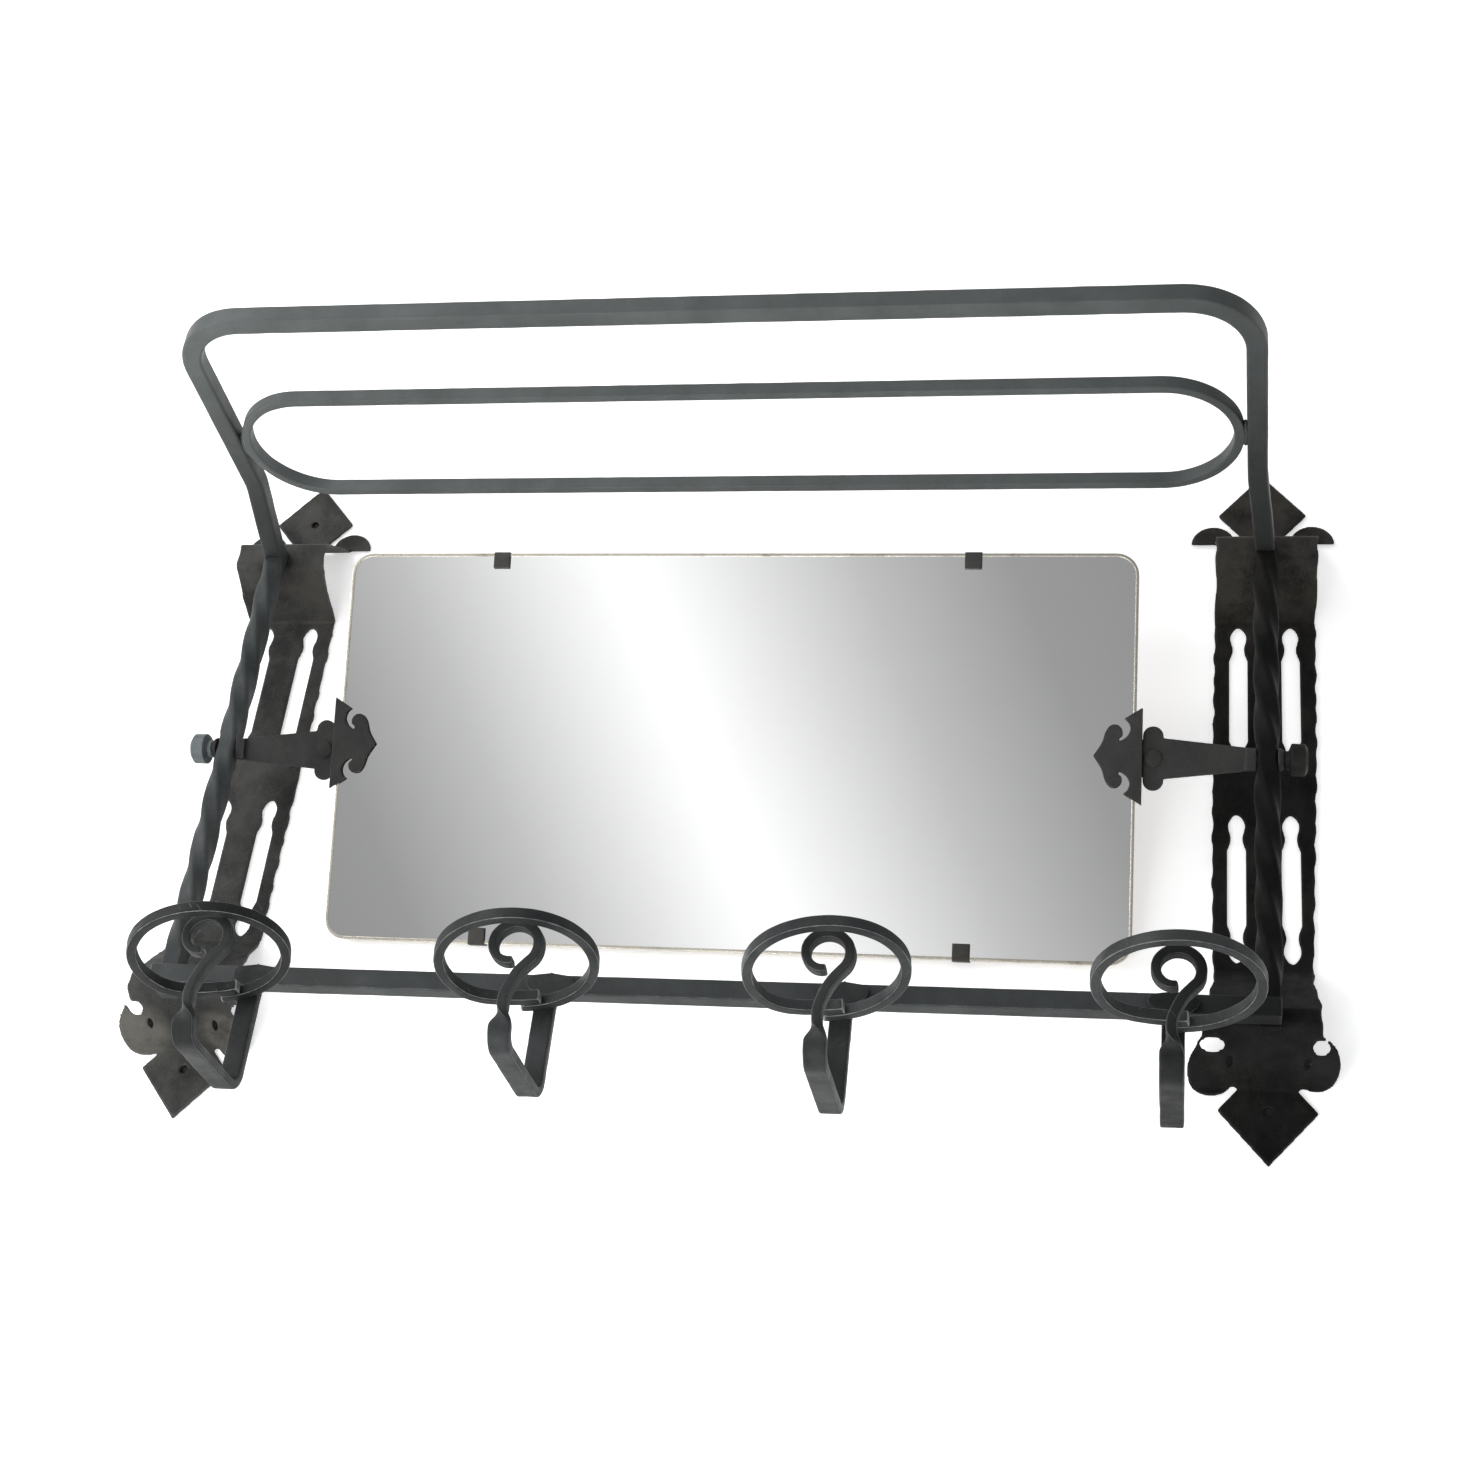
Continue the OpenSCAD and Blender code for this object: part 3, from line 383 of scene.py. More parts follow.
def makeFineScratches():
    # Mask: thin stray scratches along two leaning directions
    group, given, result = newGroup("fineScratches", [
        ("Vector", "Vector", None), ("Scale", "Float", 1.0), ("Amount", "Float", 0.5)], ["Mask"])
    total = None
    for lean, offset in ((0.7, 0.0), (-0.95, 3.7)):
        leant = mapped(group, given["Vector"],
                       {"Rotation": (0.0, lean, 0.0), "Location": (offset, 0.0, 0.0)})
        drawn = mapped(group, leant, {"Scale": (900.0, 900.0, 28.0)})
        line = remap(group, noise(group, drawn, given["Scale"], 1.0, 0.5), 0.7, 0.76)
        total = line if total is None else maths(group, "MAXIMUM", total, line)
    here = remap(group, noise(group, given["Vector"], 45.0, 2.0), 0.48, 0.62)
    mask = times(group, total, here)
    group.links.new(times(group, mask, given["Amount"]), result["Mask"])
    return group


def makeCloudPatch():
    # Mask: soft patches, as dust, brown burnish or handling leave
    group, given, result = newGroup("cloudPatch", [
        ("Vector", "Vector", None), ("Size", "Float", 12.0), ("Low", "Float", 0.5),
        ("High", "Float", 0.7), ("Amount", "Float", 0.5)], ["Mask"])
    patch = noise(group, given["Vector"], given["Size"], 6.0, 0.6)
    speck = noise(group, given["Vector"], times(group, given["Size"], 14.0), 3.0, 0.7)
    level = plus(group, times(group, patch, 0.8), times(group, speck, 0.2))
    mask = remap(group, level, given["Low"], given["High"])
    group.links.new(times(group, mask, given["Amount"]), result["Mask"])
    return group


hammerSkin, edgeRub, cloudPatch = makeHammerSkin(), makeEdgeRub(), makeCloudPatch()
fineScratches = makeFineScratches()


def useGroup(tree, group, inputs):
    return put(tree, "ShaderNodeGroup", {"node_tree": group}, inputs).outputs


def addBump(tree, shader, height, strength, distance):
    bump = put(tree, "ShaderNodeBump", None, {"Height": height, "Strength": strength})
    bump.inputs["Distance"].default_value = distance
    tree.links.new(bump.outputs[0], shader.inputs["Normal"])


def startMaterial(name):
    material = bpy.data.materials.new(name)
    material.use_nodes = True
    tree = material.node_tree
    shader = tree.nodes["Principled BSDF"]
    vector = tree.nodes.new("ShaderNodeTexCoord").outputs["Object"]
    return material, tree, shader, vector


# Finishes: what a look leaves out is taken from plainIron

plainIron = {"brownAmount": 0.2, "hazeAmount": 0.25, "rub": 0.2, "rubbed": 0.12, "scratch": 0.2,
             "bump": 0.3, "metallic": 0.3, "specular": 0.2, "facets": 70.0}
# the Left and Right looks of the plates, posts and knobs are one finish, lit and shaded: the left copies are
# painted lighter and the right copies painted darker, as the light falls from the left
ironLooks = {
    "plateLeft": {"dark": (0.012, 0.0125, 0.012), "light": (0.046, 0.0465, 0.0435),
                  "brown": (0.058, 0.054, 0.047), "brownAmount": 0.5, "hazeAmount": 0.3, "rub": 0.3,
                  "scratch": 0.35, "rough": (0.55, 0.72), "bump": 0.45, "metallic": 0.2,
                  "scuffsAndLitPatches": [((-0.47, -0.02, -0.25), 0.036, 0.42), ((-0.395, -0.02, -0.245), 0.026, 0.42)]},
    "plateRight": {"dark": (0.003, 0.0033, 0.0031), "light": (0.014, 0.0146, 0.014),
                   "brown": (0.028, 0.0255, 0.022), "brownAmount": 0.5, "rubbed": 0.06, "scratch": 0.12,
                   "rough": (0.52, 0.7), "bump": 0.45, "metallic": 0.2, "specular": 0.1,
                   "scuffsAndLitPatches": [((0.4, -0.02, 0.17), 0.05, 0.25), ((0.43, -0.02, 0.25), 0.13, 0.45)]},
    "postLeft": {"dark": (0.028, 0.032, 0.033), "light": (0.05, 0.055, 0.056),
                 "brown": (0.045, 0.041, 0.035), "hazeAmount": 0.3, "rub": 0.06, "scratch": 0.1,
                 "rough": (0.52, 0.68), "metallic": 0.25, "facets": 90.0},
    "postRight": {"dark": (0.003, 0.0034, 0.0032), "light": (0.008, 0.0084, 0.008),
                  "brown": (0.016, 0.0135, 0.011), "brownAmount": 0.4, "rub": 0.04, "rubbed": 0.05,
                  "scratch": 0.05, "rough": (0.55, 0.7), "metallic": 0.15, "specular": 0.08,
                  "facets": 90.0},
    "shelf": {"dark": (0.074, 0.082, 0.081), "light": (0.094, 0.104, 0.103),
              "brown": (0.08, 0.076, 0.069), "brownAmount": 0.1, "hazeAmount": 0.2, "rub": 0.05,
              "rubbed": 0.18, "scratch": 0.06, "rough": (0.5, 0.62), "bump": 0.14, "specular": 0.3,
              "facets": 60.0, "soot": [("Y", -0.37, -0.09, 0.72), ("X", 0.3, 0.425, 0.3)]},
    # the bar's strong edge rub is partly wear, partly a painted highlight along the edge between its front
    # and bottom faces
    "bar": {"dark": (0.034, 0.0375, 0.038), "light": (0.048, 0.052, 0.053),
            "brown": (0.046, 0.042, 0.037), "brownAmount": 0.12, "hazeAmount": 0.2, "rub": 0.75,
            "rubbed": 0.2, "rough": (0.5, 0.64), "bump": 0.18, "soot": [("X", 0.33, 0.425, 0.85)]},
    "hook": {"dark": (0.017, 0.019, 0.0195), "light": (0.036, 0.039, 0.0395),
             "brown": (0.038, 0.034, 0.029), "rub": 0.55, "rubbed": 0.17, "rough": (0.48, 0.64),
             "bump": 0.28, "facets": 100.0, "soot": [("X", 0.32, 0.42, 0.8)]},
    "pivot": {"dark": (0.019, 0.02, 0.0192), "light": (0.034, 0.0355, 0.034),
              "brown": (0.04, 0.036, 0.031), "brownAmount": 0.25, "rubbed": 0.1, "scratch": 0.15,
              "rough": (0.54, 0.68), "metallic": 0.25, "facets": 120.0},
    "knobLeft": {"dark": (0.085, 0.099, 0.101), "light": (0.125, 0.145, 0.148),
                 "brown": (0.085, 0.085, 0.078), "hazeAmount": 0.3, "rub": 0.3, "rubbed": 0.25,
                 "scratch": 0.3, "rough": (0.42, 0.56), "metallic": 0.4, "specular": 0.3,
                 "facets": 130.0},
    "knobRight": {"dark": (0.006, 0.0063, 0.006), "light": (0.016, 0.0165, 0.016),
                  "brown": (0.024, 0.021, 0.018), "brownAmount": 0.3, "hazeAmount": 0.3, "rub": 0.15,
                  "rubbed": 0.06, "scratch": 0.1, "rough": (0.5, 0.66), "metallic": 0.2,
                  "specular": 0.12, "facets": 130.0},
    "clip": {"dark": (0.035, 0.036, 0.034), "light": (0.07, 0.07, 0.066), "brown": (0.07, 0.05, 0.035),
             "brownAmount": 0.4, "hazeAmount": 0.2, "rub": 0.4, "rubbed": 0.2, "rough": (0.4, 0.6),
             "bump": 0.2, "metallic": 0.5, "specular": 0.3, "facets": 220.0},
}
ironLooks = {name: {**plainIron, **look} for name, look in ironLooks.items()}
sootColour = (0.004, 0.0042, 0.004)
scuffAndLitLighter, hazeLighter = 2.9, 1.4


def makeIron(name, look):
    # blackened iron: cloudy dark skin, brown burnish, pale haze, pale patches that are partly scuffs and
    # partly painted light, scratches, rubbed edges, and painted shade that darkens towards the wall and
    # towards the right
    material, tree, shader, vector = startMaterial(name + "Iron")
    edge = put(tree, "ShaderNodeAttribute", {"attribute_name": "edgeWear"}).outputs["Fac"]
    skin = useGroup(tree, hammerSkin, {"Vector": vector, "Facets": look["facets"]})
    upright = mapped(tree, vector, {"Scale": (1.3, 1.0, 0.6)})
    brown = useGroup(tree, cloudPatch, {"Vector": upright, "Size": 20.0, "Low": 0.47, "High": 0.62,
                                        "Amount": look["brownAmount"]})["Mask"]
    haze = useGroup(tree, cloudPatch, {"Vector": vector, "Size": 9.0, "Low": 0.42, "High": 0.68,
                                       "Amount": look["hazeAmount"]})["Mask"]
    rub = useGroup(tree, edgeRub, {"Vector": vector, "Edge": edge, "Amount": look["rub"]})["Mask"]
    scratch = useGroup(tree, fineScratches, {"Vector": vector, "Amount": look["scratch"]})["Mask"]
    colour = blendColour(tree, skin["Tone"], (*look["dark"], 1), (*look["light"], 1))
    colour = blendColour(tree, brown, colour, (*look["brown"], 1))
    colour = blendColour(tree, haze, colour, (*(v * hazeLighter for v in look["light"]), 1))
    # pale patches round given points: partly scuffing, partly painted light where the light falls brightest
    # on the plates' lobes and top slope
    for place, radius, amount in look.get("scuffsAndLitPatches", []):
        away = put(tree, "ShaderNodeVectorMath", {"operation": "DISTANCE"},
                   {0: vector, 1: place}).outputs["Value"]
        patch = useGroup(tree, cloudPatch, {"Vector": vector, "Size": 34.0, "Low": 0.3, "High": 0.6,
                                            "Amount": amount})["Mask"]
        share = times(tree, patch, remap(tree, away, radius, radius * 0.5))
        colour = blendColour(tree, share, colour, (*(v * scuffAndLitLighter for v in look["brown"]), 1))
    level = look["rubbed"]
    colour = blendColour(tree, maths(tree, "MAXIMUM", rub, scratch), colour, (level, level * 1.02, level, 1))
    # painted shade: darker along one axis, towards the wall and towards the right end, away from the light
    for axis, start, end, amount in look.get("soot", []):
        along = put(tree, "ShaderNodeSeparateXYZ", None, {0: vector}).outputs[axis]
        share = remap(tree, along, start, end, 0.0, amount)
        colour = blendColour(tree, share, colour, (*sootColour, 1))
    tree.links.new(colour, shader.inputs["Base Color"])
    low, high = look["rough"]
    rough = remap(tree, skin["Tone"], 0.0, 1.0, high, low)
    rough = plus(tree, rough, times(tree, haze, 0.1))
    rough = maths(tree, "SUBTRACT", rough, times(tree, rub, 0.1), True)
    tree.links.new(rough, shader.inputs["Roughness"])
    shader.inputs["Metallic"].default_value = look["metallic"]
    shader.inputs["Specular IOR Level"].default_value = look["specular"]
    addBump(tree, shader, skin["Height"], look["bump"], 0.0012)
    return material


def toned(look, share, **changes):
    # the same finish, lighter or darker as a whole
    shades = {name: tuple(share * v for v in look[name]) for name in ("dark", "light", "brown")}
    return {**look, **shades, **changes}


ironLooks["oval"] = toned(ironLooks["shelf"], 0.97, soot=[("X", 0.25, 0.41, 0.3)])
hookIron, pivotIron = ironLooks.pop("hook"), ironLooks.pop("pivot")
# pivotLeft is painted darker and pivotRight lighter: lit and shaded copies of one finish, painted light and
# shade
ironLooks["pivotLeft"] = toned(pivotIron, 0.75)
ironLooks["pivotRight"] = toned(pivotIron, 1.2)
# each hook and ring gets its own lighter or darker copy of the finish: painted light and shade; the rings'
# strong edge rub is partly wear, partly a painted highlight along their edges
for number, hookTone, ringTone in ((1, 0.75, 0.5), (2, 1.2, 1.05), (3, 1.0, 1.3), (4, 0.6, 1.25)):
    ironLooks[f"hook{number}"] = toned(hookIron, hookTone)
    ironLooks[f"ring{number}"] = toned(hookIron, ringTone, rub=0.75, rubbed=0.28, soot=[])
iron = {name: makeIron(name, look) for name, look in ironLooks.items()}


def makeRimMetal():
    # pale drawn metal: fine scratches, a dull brown line of grime in places
    material, tree, shader, vector = startMaterial("rimMetal")
    stretched = mapped(tree, vector, {"Scale": (1.0, 6.0, 6.0)})
    scratch = noise(tree, stretched, 260.0, 3.0, 0.7)
    grime = useGroup(tree, cloudPatch, {"Vector": vector, "Size": 30.0, "Low": 0.5, "High": 0.72,
                                        "Amount": 0.75})["Mask"]
    colour = blendColour(tree, remap(tree, scratch, 0.3, 0.7), (0.5, 0.47, 0.4, 1), (0.74, 0.71, 0.63, 1))
    colour = blendColour(tree, grime, colour, (0.17, 0.13, 0.085, 1))
    tree.links.new(colour, shader.inputs["Base Color"])
    rough = remap(tree, scratch, 0.3, 0.7, 0.34, 0.22)
    rough = plus(tree, rough, times(tree, grime, 0.3))
    tree.links.new(rough, shader.inputs["Roughness"])
    shader.inputs["Metallic"].default_value = 0.95
    addBump(tree, shader, scratch, 0.12, 0.0004)
    return material


def makeMirrorGlass():
    # silvered glass: a trace of dust and wiping marks
    material, tree, shader, vector = startMaterial("mirrorGlass")
    dust = useGroup(tree, cloudPatch, {"Vector": vector, "Size": 7.0, "Low": 0.45, "High": 0.8,
                                       "Amount": 1.0})["Mask"]
    wiped = mapped(tree, vector, {"Rotation": (0.0, 0.5, 0.0), "Scale": (2.0, 1.0, 14.0)})
    streak = noise(tree, wiped, 5.0, 4.0, 0.6)
    colour = blendColour(tree, dust, (0.955, 0.96, 0.96, 1), (0.93, 0.935, 0.93, 1))
    tree.links.new(colour, shader.inputs["Base Color"])
    rough = plus(tree, times(tree, dust, 0.03), times(tree, streak, 0.02))
    tree.links.new(rough, shader.inputs["Roughness"])
    shader.inputs["Metallic"].default_value = 1.0
    return material


def makeHardboard():
    # pressed brown fibre board: matted fibres, darker flecks, a few damp clouds
    material, tree, shader, vector = startMaterial("hardboard")
    fibres = mapped(tree, vector, {"Rotation": (0.0, 0.7, 0.0), "Scale": (1.0, 1.0, 5.0)})
    matted = noise(tree, fibres, 240.0, 5.0, 0.7)
    flecks = remap(tree, noise(tree, vector, 420.0, 2.0), 0.6, 0.7)
    damp = useGroup(tree, cloudPatch, {"Vector": vector, "Size": 5.0, "Low": 0.45, "High": 0.65,
                                       "Amount": 0.5})["Mask"]
    colour = blendColour(tree, remap(tree, matted, 0.3, 0.7), (0.12, 0.07, 0.038, 1), (0.27, 0.175, 0.1, 1))
    colour = blendColour(tree, times(tree, flecks, 0.6), colour, (0.06, 0.035, 0.02, 1))
    colour = blendColour(tree, damp, colour, (0.13, 0.085, 0.05, 1))
    tree.links.new(colour, shader.inputs["Base Color"])
    tree.links.new(remap(tree, matted, 0.3, 0.7, 0.85, 0.65), shader.inputs["Roughness"])
    addBump(tree, shader, matted, 0.4, 0.0006)
    return material


rimMetal, mirrorGlass, hardboard = makeRimMetal(), makeMirrorGlass(), makeHardboard()
print("finishes:", len(iron) + 3)

# Posts of twisted square bar

postLook = {"x": 0.43, "y": -0.064, "bottom": -0.234, "top": 0.202, "pivot": -0.006, "boss": 0.02,
            "twist": 0.182, "plainSide": 0.016, "plainRadius": 0.0017, "twistSide": 0.0176,
            "twistRadius": 0.0046, "bossRadius": 0.0036, "dents": 0.0005, "dentSize": 0.011,
            "blend": 0.005, "step": 0.0018}


def twistAngle(z, s):
    # one full turn over each twisted length, eased in and out by averaging over a short height
    def raw(h):
        above = np.clip((h - s["pivot"] - s["boss"] / 2) / s["twist"], 0, 1)
        below = np.clip((s["pivot"] - s["boss"] / 2 - h) / s["twist"], 0, 1)
        return -2 * np.pi * (above - below)
    spread = np.linspace(-s["blend"], s["blend"], 9)
    return np.mean([raw(z + d) for d in spread], axis=0)


def makePost(name, side, material, s, seed):
    z = np.arange(s["bottom"], s["top"] + s["step"] / 2, s["step"])
    z[-1] = s["top"]
    path = np.stack([np.full_like(z, side * s["x"]), np.full_like(z, s["y"]), z], -1)
    turn = twistAngle(z, s)
    across = np.stack([np.cos(turn), np.sin(turn), 0 * z], -1)
    up = np.stack([-np.sin(turn), np.cos(turn), 0 * z], -1)
    twisted = smoothStep((s["twist"] + s["boss"] / 2 - np.abs(z - s["pivot"])) / s["blend"])
    boss = 1 - smoothStep((np.abs(z - s["pivot"]) - s["boss"] / 2) / s["blend"])
    plain = np.where(boss > 0, s["bossRadius"], s["plainRadius"])
    rounded = twisted * (1 - boss)
    width = s["plainSide"] + (s["twistSide"] - s["plainSide"]) * rounded
    section, edge = barSection(width, width, plain + (s["twistRadius"] - plain) * rounded, 6, 6)
    forge(name + "_twisted", name, carry(path, across, up, section, edge), s, seed, material)


makePost("left_post", -1, iron["postLeft"], postLook, 11)
makePost("right_post", 1, iron["postRight"], postLook, 12)
print("posts: twisted")

# Hat shelf: square bar rail with a long oval of flat bar inside it

shelfLook = {"rootX": 0.43, "rootY": -0.069, "rootZ": 0.194, "bendX": 0.422, "bendY": -0.15, "frontX": 0.416,
             "frontY": -0.358, "z": 0.2095, "roll": 0.3, "side": 0.016, "radius": 0.0021, "corner": 0.054,
             "dents": 0.0004, "dentSize": 0.014, "step": 0.0028}
ovalLook = {"y": -0.2035, "drop": 0.002, "halfLength": 0.4108, "depth": 0.128, "thick": 0.008,
            "height": 0.012, "radius": 0.0016, "dents": 0.0003, "dentSize": 0.012, "weldLength": 0.03,
            "weldRadius": 0.0034, "weldOut": 0.0006, "weldLean": 0.028, "weldWide": 0.8, "weldHigh": 1.55,
            "ripple": 0.09, "rippleLength": 0.0021}


def shelfLevel(points, s):
    # lifted to the shelf's height and tipped a little, left end up
    c, n = np.cos(np.radians(s["roll"])), np.sin(np.radians(s["roll"]))
    x, y, z = points[..., 0], points[..., 1], points[..., 2]
    return np.stack([x * c + z * n, y, s["z"] - x * n + z * c], -1)


def makeRail(s):
    half = np.array([[s["bendX"], s["bendY"], 0], [s["frontX"], s["frontY"], 0]])
    level = shelfLevel(np.concatenate([half, half[::-1] * [-1, 1, 1]]), s)
    root = np.array([s["rootX"], s["rootY"], s["rootZ"]])
    corners = np.concatenate([[root], level, [root * [-1, 1, 1]]])
    path = roundCorners(corners, s["corner"], 24)
    path = evenly(path, s["step"])
    tangent = tangents(path)
    up = squareTo(np.array([0.0, 0.0, 1.0]), tangent)
    across = np.cross(up, tangent)
    section, edge = barSection(s["side"], s["side"], s["radius"], 6, 4)
    forge("hat_rail_bent", "hat_rail", carry(path, across, up, section, edge), s, 21, iron["shelf"])


def makeOval(s, shelf):
    # a long ring of flat bar, and a rippled weld bead at each end
    endX, r = s["halfLength"] - s["depth"] / 2, (s["depth"] - s["thick"]) / 2
    turn = np.linspace(-np.pi / 2, np.pi / 2, 60)
    right = np.stack([endX + r * np.cos(turn), s["y"] + r * np.sin(turn), 0 * turn - s["drop"]], -1)
    path = np.concatenate([right, right[::-1] * [-1, 1, 1]])
    path = shelfLevel(evenly(path, shelf["step"], True), shelf)
    tangent = tangents(path, True)
    up = squareTo(np.array([0.0, 0.0, 1.0]), tangent)
    across = np.cross(up, tangent)
    section, edge = barSection(s["thick"], s["height"], s["radius"], 4, 4)
    parts = [hammered(carry(path, across, up, section, edge, True), s["dents"], s["dentSize"], 25)]
    for side in (-1, 1):
        y = np.linspace(-0.5, 0.5, 60) * s["weldLength"]
        swell = np.sqrt(np.clip(1 - (2 * y / s["weldLength"]) ** 2, 0.02, 1))
        ripple = 1 + s["ripple"] * np.abs(np.sin(np.pi * y / s["rippleLength"]))
        size = 2 * s["weldRadius"] * swell * ripple / (1 + s["ripple"])
        x = side * (s["halfLength"] + s["weldOut"] + s["weldLean"] * y)
        bead = shelfLevel(np.stack([x, s["y"] + y, 0 * y - s["drop"]], -1), shelf)
        section, edge = barSection(size * s["weldWide"], size * s["weldHigh"], size * 0.38, 1, 6)
        parts.append(carry(bead, np.array([1.0, 0, 0]), np.array([0, 0, 1.0]), section, edge * 0.4,
                           endRadius=0.0004))
    buildPiece("hat_oval_forged", "hat_oval", parts, iron["oval"])


makeRail(shelfLook)
makeOval(ovalLook, shelfLook)
print("hat shelf: rail and oval")

# Lower bar

barLook = {"half": 0.438, "y": -0.08, "z": -0.225, "side": 0.016, "radius": 0.0013, "dents": 0.0004,
           "dentSize": 0.016}


def makeLowerBar(s):
    x = np.linspace(-s["half"], s["half"], 320)
    path = np.stack([x, np.full_like(x, s["y"]), np.full_like(x, s["z"])], -1)
    section, edge = barSection(s["side"], s["side"], s["radius"], 6, 3)
    part = carry(path, np.array([0, 1.0, 0]), np.array([0, 0, 1.0]), section, edge)
    forge("lower_bar_forged", "lower_bar", part, s, 31, iron["bar"])


makeLowerBar(barLook)
print("lower bar: forged")

# Umbrella rings with lapped ends

ringLook = {"places": (-0.3569, -0.11481, 0.116702, 0.364984), "tilts": (8.0, 9.0, 9.0, 7.0),
            "rolls": (12.0, 7.5, 7.5, 1.0), "y": -0.0956, "z": -0.252, "inner": 0.0534, "thick": 0.008,
            "height": 0.01, "gap": 0.0004, "lap": 18.0, "swing": 50.0, "radius": 0.0016,
            "endRadius": 0.0018, "dents": 0.00035, "dentSize": 0.01}


def makeRing(number, x, tilt, roll, s):
    # the bar starts behind, swings outwards, runs round the left and the front, and laps its own start
    angle = np.linspace(0, 360 + s["lap"], 190)
    r = s["inner"] + s["thick"] / 2
    r = r - (s["thick"] + s["gap"]) * (1 - smoothStep((angle - s["lap"]) / s["swing"]))
    turn = np.radians(90 - s["lap"] / 2 + angle)
    flat = np.stack([r * np.cos(turn), r * np.sin(turn) - s["inner"] - s["thick"],
                     0 * turn + s["height"] / 2], -1)
    ct, st, cr, sr = np.cos(tilt), np.sin(tilt), np.cos(roll), np.sin(roll)

    def tipped(v):
        # rolled right side up, then tipped front edge up
        x, y, z = v[..., 0] * cr - v[..., 2] * sr, v[..., 1], v[..., 0] * sr + v[..., 2] * cr
        return np.stack([x, y * ct + z * st, z * ct - y * st], -1)

    path = tipped(flat) + np.array([x, s["y"], s["z"]])
    tangent = tangents(path)
    up = np.broadcast_to(tipped(np.array([0, 0, 1.0])), path.shape)
    across = np.cross(up, tangent)
    section, edge = barSection(s["thick"], s["height"], s["radius"], 4, 4)
    part = carry(path, across, up, section, edge, endRadius=s["endRadius"])
    forge(f"ring_{number}_forged", f"ring_{number}", part, s, 40 + number, iron[f"ring{number}"])


for i, x in enumerate(ringLook["places"]):
    makeRing(i + 1, x, np.radians(ringLook["tilts"][i]), np.radians(ringLook["rolls"][i]), ringLook)
print("rings: four")

# Coat hooks: one flat bar each, from the spade-shaped head round the bow and the twist to the scroll

hookLook = {"places": (-0.34658, -0.1075, 0.11954, 0.3612), "depths": (1.0, 0.965, 1.0, 1.0),
            "scrollDrops": (1.0, 1.0, 1.0, 1.27), "scrollSizes": (0.95, 1.0, 0.93, 0.9), "barZ": -0.225,
            "barFront": -0.088, "width": 0.017, "thick": 0.008, "leafTop": -0.216, "leafHeight": 0.02,
            "leafWidth": 0.039, "leafThick": 0.004, "legY": -0.092, "frontY": -0.193, "depth": 0.102,
            "bend": 0.014, "neck": 0.012, "scrollWidth": 0.0105, "scrollDrop": 0.019, "scrollX": 0.002,
            "scrollR": 0.0175, "radius": 0.0017, "endRadius": 0.0016, "wornUp": 0.02, "wornRadius": 0.011,
            "worn": 0.75, "curlFrom": -35, "curlTurn": 305, "curlSteps": 36, "tightenFrom": 150,
            "tightenOver": 160, "tighten": 0.5, "stemLow": 0.3, "stemHigh": 0.72, "stemLean": 0.42,
            "leafEdge": 0.6, "endThin": 0.82, "endLength": 0.05, "twistEase": 0.003, "dents": 0.00045,
            "dentSize": 0.009, "step": 0.0016}
leafShares = np.array([(0.0, 0.42), (0.1, 0.62), (0.35, 0.92), (0.6, 1.0), (0.84, 0.85), (0.97, 0.45),
                       (1.0, 0.08)])


def hookPath(i, s):
    # down the back leg, forward along the bottom, up into the twist, then the stem and the curl
    bottom = s["barZ"] - s["depth"] * s["depths"][i] + s["thick"] / 2
    stemZ = bottom + s["bend"] + s["neck"]
    down = roundCorners([(0, s["legY"], s["leafTop"]), (0, s["legY"], bottom), (0, s["frontY"], bottom),
                         (0, s["frontY"], stemZ)], s["bend"], 14)
    a = s["curlTurn"] * np.arange(s["curlSteps"] + 1) / s["curlSteps"] + s["curlFrom"]
    size = s["scrollR"] * s["scrollSizes"][i]
    r = size * (1 - s["tighten"] * (np.clip(a - s["tightenFrom"], 0, None) / s["tightenOver"]) ** 1.4)
    curl = np.stack([r * np.cos(np.radians(a)) + s["scrollX"] + s["scrollR"] - size,
                     np.full_like(a, s["frontY"]),
                     r * np.sin(np.radians(a)) + s["barZ"] - s["scrollDrop"] * s["scrollDrops"][i]], -1)
    rise = curl[0, 2] - stemZ
    stem = [(0, s["frontY"], stemZ + s["stemLow"] * rise),
            (s["stemLean"] * curl[0, 0], s["frontY"], stemZ + s["stemHigh"] * rise)]
    upper = throughPoints(np.concatenate([[down[-1]], stem, curl]), 6)
    return evenly(np.concatenate([down, upper[1:]]), s["step"]), distanceAlong(down)[-1], bottom


